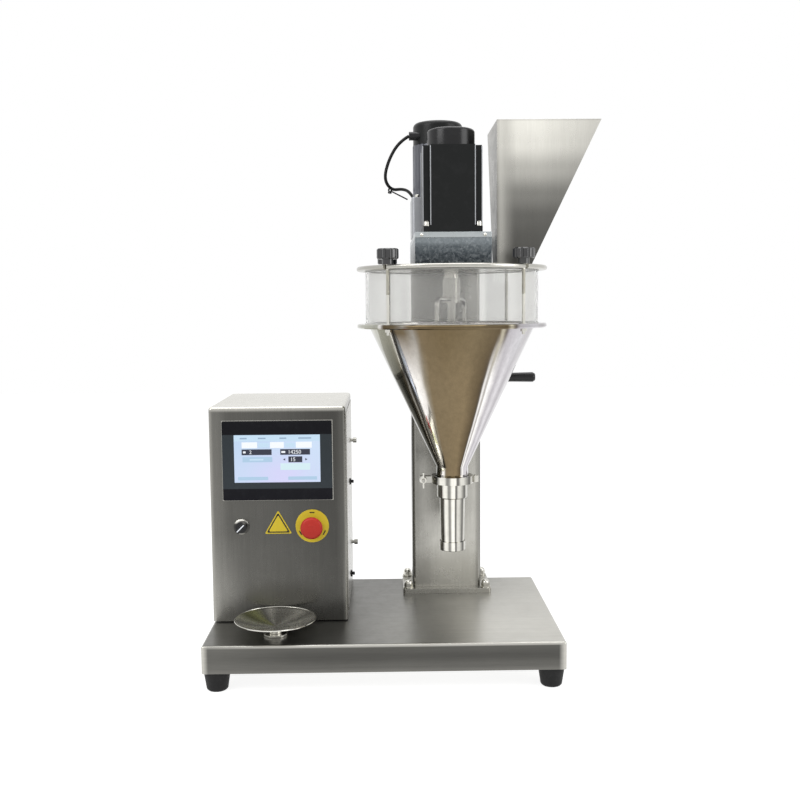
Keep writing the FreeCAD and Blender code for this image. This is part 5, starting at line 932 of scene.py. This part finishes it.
def make_servo_details():
    """Silver strips along the notched corners, bare metal edges that also stand in for the edge highlights
    there, and the four flange screws.
    """
    low, high = corners("servo_body")
    notch, half, flange = 0.013, 0.0009, 0.011
    bare_edge_highlights = []
    heads = []
    for end_x, inward_x in ((low.x, notch), (high.x, -notch)):
        for end_y, inward_y in ((low.y, notch), (high.y, -notch)):
            for x, y in ((end_x + inward_x, end_y), (end_x, end_y + inward_y)):
                bare_edge_highlights.append(box_shape((x - half, y - half, low.z + flange + 0.0015),
                                       (x + half, y + half, high.z - 0.002), 0.0004))
            heads.append(cap_screw((end_x + inward_x / 2, end_y + inward_y / 2, low.z + flange), "+z",
                                   0.0057, 0.0086))
    piece("servo_bare_edge_highlights", joined(bare_edge_highlights), "silver_casting", "head")
    piece("servo_bolts", joined(heads), "bright_steel", "head")


def make_rod_threads():
    """Fine rings for the thread at the upper ends of the tie rods, and a thin washer under each knob."""
    rings = []
    top = corners("star_knob_1")[0].z
    start, end, step = top - 0.052, top - 0.009, 0.0009
    root, crest, washer = 0.00300, 0.00345, 0.0085
    count = int((end - start) / step)
    for number in range(1, 5):
        knob = middle(f"star_knob_{number}")
        profile = [(0.0, start)]
        for tooth in range(count):
            profile += [(root, start + tooth * step), (crest, start + (tooth + 0.5) * step)]
        profile += [(root, start + count * step), (0.0, start + count * step)]
        rings.append(turned_shape(profile, (knob.x, knob.y, 0), "+z", 20))
        rings.append(turned_shape([(0, top - 0.0003), (washer, top - 0.0003), (washer, top - 0.0001),
                                   (0, top - 0.0001)], (knob.x, knob.y, 0), "+z", 32))
    piece("rod_threads", joined(rings), "bright_steel", "head", sharp=20)


def make_cable_tie():
    """A tie round the lead's lowest bend, with its tail."""
    place = Vector(CABLE_ROUTE[4]) * mm
    heading = (Vector(CABLE_ROUTE[5]) - Vector(CABLE_ROUTE[3])).normalized()
    turn = heading.to_track_quat("Z", "Y").to_matrix().to_4x4()
    band = turned_shape([(0.0030, -0.0016), (0.0044, -0.0016), (0.0044, 0.0016), (0.0030, 0.0016),
                         (0.0030, -0.0016)], (0, 0, 0), "+z", 24)
    lock = box_shape((-0.0028, -0.0075, -0.0026), (0.0028, -0.0035, 0.0026), 0.0006)
    tie = joined([band, lock])
    bmesh.ops.transform(tie, matrix=Matrix.Translation(place + Vector((-0.002, 0, 0.001))) @ turn,
                        verts=tie.verts)
    tail = box_shape((0.0, -0.0005, -0.0013), (0.036, 0.0005, 0.0013), 0.0003)
    bmesh.ops.transform(tail, matrix=Matrix.Translation(place + Vector((-0.001, -0.006, -0.002)))
                        @ Matrix.Rotation(math.radians(27), 4, "Y"), verts=tail.verts)
    piece("cable_tie", joined([tie, tail]), "black_plastic", "head")


def make_dish_rim():
    """The rolled edge of the dish."""
    low, high = corners("dish")
    centre = (low + high) / 2
    radius = (high.x - low.x) / 2
    rim = turned_shape([(radius - 0.0022, high.z - 0.0012), (radius + 0.0004, high.z - 0.0012),
                        (radius + 0.0006, high.z - 0.0002), (radius - 0.0002, high.z + 0.0006),
                        (radius - 0.0016, high.z + 0.0006), (radius - 0.0022, high.z - 0.0012)],
                       (centre.x, centre.y, 0), "+z", 96)
    piece("dish_rim", rim, "bright_steel", "weigh_dish")


def make_panel_frame():
    """The thin seam round the touch panel: a satin metal frame that also stands in for the bezel's light
    edge highlight.
    """
    low, high = PANEL_LOW, PANEL_HIGH
    front = BOX_LOW.y
    edge = 0.0011
    bars = [box_shape((low.x - edge, front - 0.0012, low.z - edge), (high.x + edge, front, low.z)),
            box_shape((low.x - edge, front - 0.0012, high.z), (high.x + edge, front, high.z + edge)),
            box_shape((low.x - edge, front - 0.0012, low.z), (low.x, front, high.z)),
            box_shape((high.x, front - 0.0012, low.z), (high.x + edge, front, high.z))]
    piece("panel_seam_and_edge_highlight", joined(bars), "satin_plate", "base")


make_cable_tie()
make_dish_rim()
make_panel_frame()
make_side_latches()
make_rear_screws()
make_triangle_sign()
make_screen_picture()
make_control_details()
make_head_details()
make_servo_details()
make_rod_threads()


# ---------------------------------------------------------------- studio


def make_camera():
    """The camera that matches the photograph: lens, place and turn from the fitted corners."""
    data = bpy.data.cameras.new("camera")
    data.sensor_width = 36
    focal_share = 1018.2 / 800
    data.lens = data.sensor_width * focal_share
    data.clip_start = 0.05
    data.clip_end = 60
    camera = show(bpy.data.objects.new("camera", data))
    bpy.context.scene.camera = camera
    yaw, pitch, roll = 0.0144, 0.0939, -0.0086
    ahead = Vector((math.sin(yaw) * math.cos(pitch), math.cos(yaw) * math.cos(pitch), -math.sin(pitch)))
    right = Vector((math.cos(yaw), -math.sin(yaw), 0))
    up = right.cross(ahead)
    across = math.cos(roll) * right + math.sin(roll) * up
    above = -math.sin(roll) * right + math.cos(roll) * up
    turn = Matrix((across, above, -ahead)).transposed().to_4x4()
    camera.matrix_world = Matrix.Translation((0.00608, -1.94379, 0.67559)) @ turn


def showing_rays(tree):
    """1 for the rays that show the white surroundings: camera, glossy and transmission rays."""
    path = tree.nodes.new("ShaderNodeLightPath")
    return maths(tree, "MAXIMUM", maths(tree, "MAXIMUM", path.outputs["Is Camera Ray"],
                                        path.outputs["Is Glossy Ray"]),
                 path.outputs["Is Transmission Ray"])


def make_stage():
    """A pale floor that keeps the shadow and is otherwise white."""
    material = bpy.data.materials.new("pale_floor")
    material.use_nodes = True
    tree = material.node_tree
    tree.nodes.clear()
    out = tree.nodes.new("ShaderNodeOutputMaterial")
    diffuse = tree.nodes.new("ShaderNodeBsdfDiffuse")
    diffuse.inputs["Color"].default_value = (0.42, 0.42, 0.42, 1)
    glow = tree.nodes.new("ShaderNodeEmission")
    glow.inputs["Color"].default_value = (1, 1, 1, 1)
    tree.links.new(maths(tree, "MULTIPLY", showing_rays(tree), 0.86), glow.inputs["Strength"])
    both = tree.nodes.new("ShaderNodeAddShader")
    tree.links.new(diffuse.outputs[0], both.inputs[0])
    tree.links.new(glow.outputs[0], both.inputs[1])
    tree.links.new(both.outputs[0], out.inputs["Surface"])
    bm = bmesh.new()
    bmesh.ops.create_grid(bm, x_segments=1, y_segments=1, size=6.0)
    mesh = bpy.data.meshes.new("floor")
    bm.to_mesh(mesh)
    bm.free()
    mesh.materials.append(material)
    floor = show(bpy.data.objects.new("floor", mesh))


def make_world():
    world = bpy.data.worlds.new("studio")
    bpy.context.scene.world = world
    world.use_nodes = True
    tree = world.node_tree
    back = tree.nodes["Background"]
    back.inputs["Color"].default_value = (1, 1, 1, 1)
    tree.links.new(maths(tree, "MULTIPLY_ADD", showing_rays(tree), 0.5, 0.5), back.inputs["Strength"])


def make_lamp(name, place, target, size, power):
    data = bpy.data.lights.new(name, "AREA")
    data.shape = "RECTANGLE"
    data.size, data.size_y = size
    data.energy = power
    lamp = show(bpy.data.objects.new(name, data))
    heading = (Vector(target) - Vector(place)).normalized()
    lamp.matrix_world = Matrix.Translation(place) @ heading.to_track_quat("-Z", "Y").to_matrix().to_4x4()


make_camera()
make_stage()
make_world()
make_lamp("key_left", (-2.2, -1.6, 2.2), (0, 0, 0.5), (1.6, 1.6), 34)
make_lamp("fill_right", (2.4, -1.2, 1.6), (0.1, 0, 0.5), (1.4, 1.8), 22)
make_lamp("top", (0, 0.1, 3.0), (0, 0, 0.5), (2.2, 2.2), 30)
bpy.context.scene.view_settings.view_transform = "Standard"
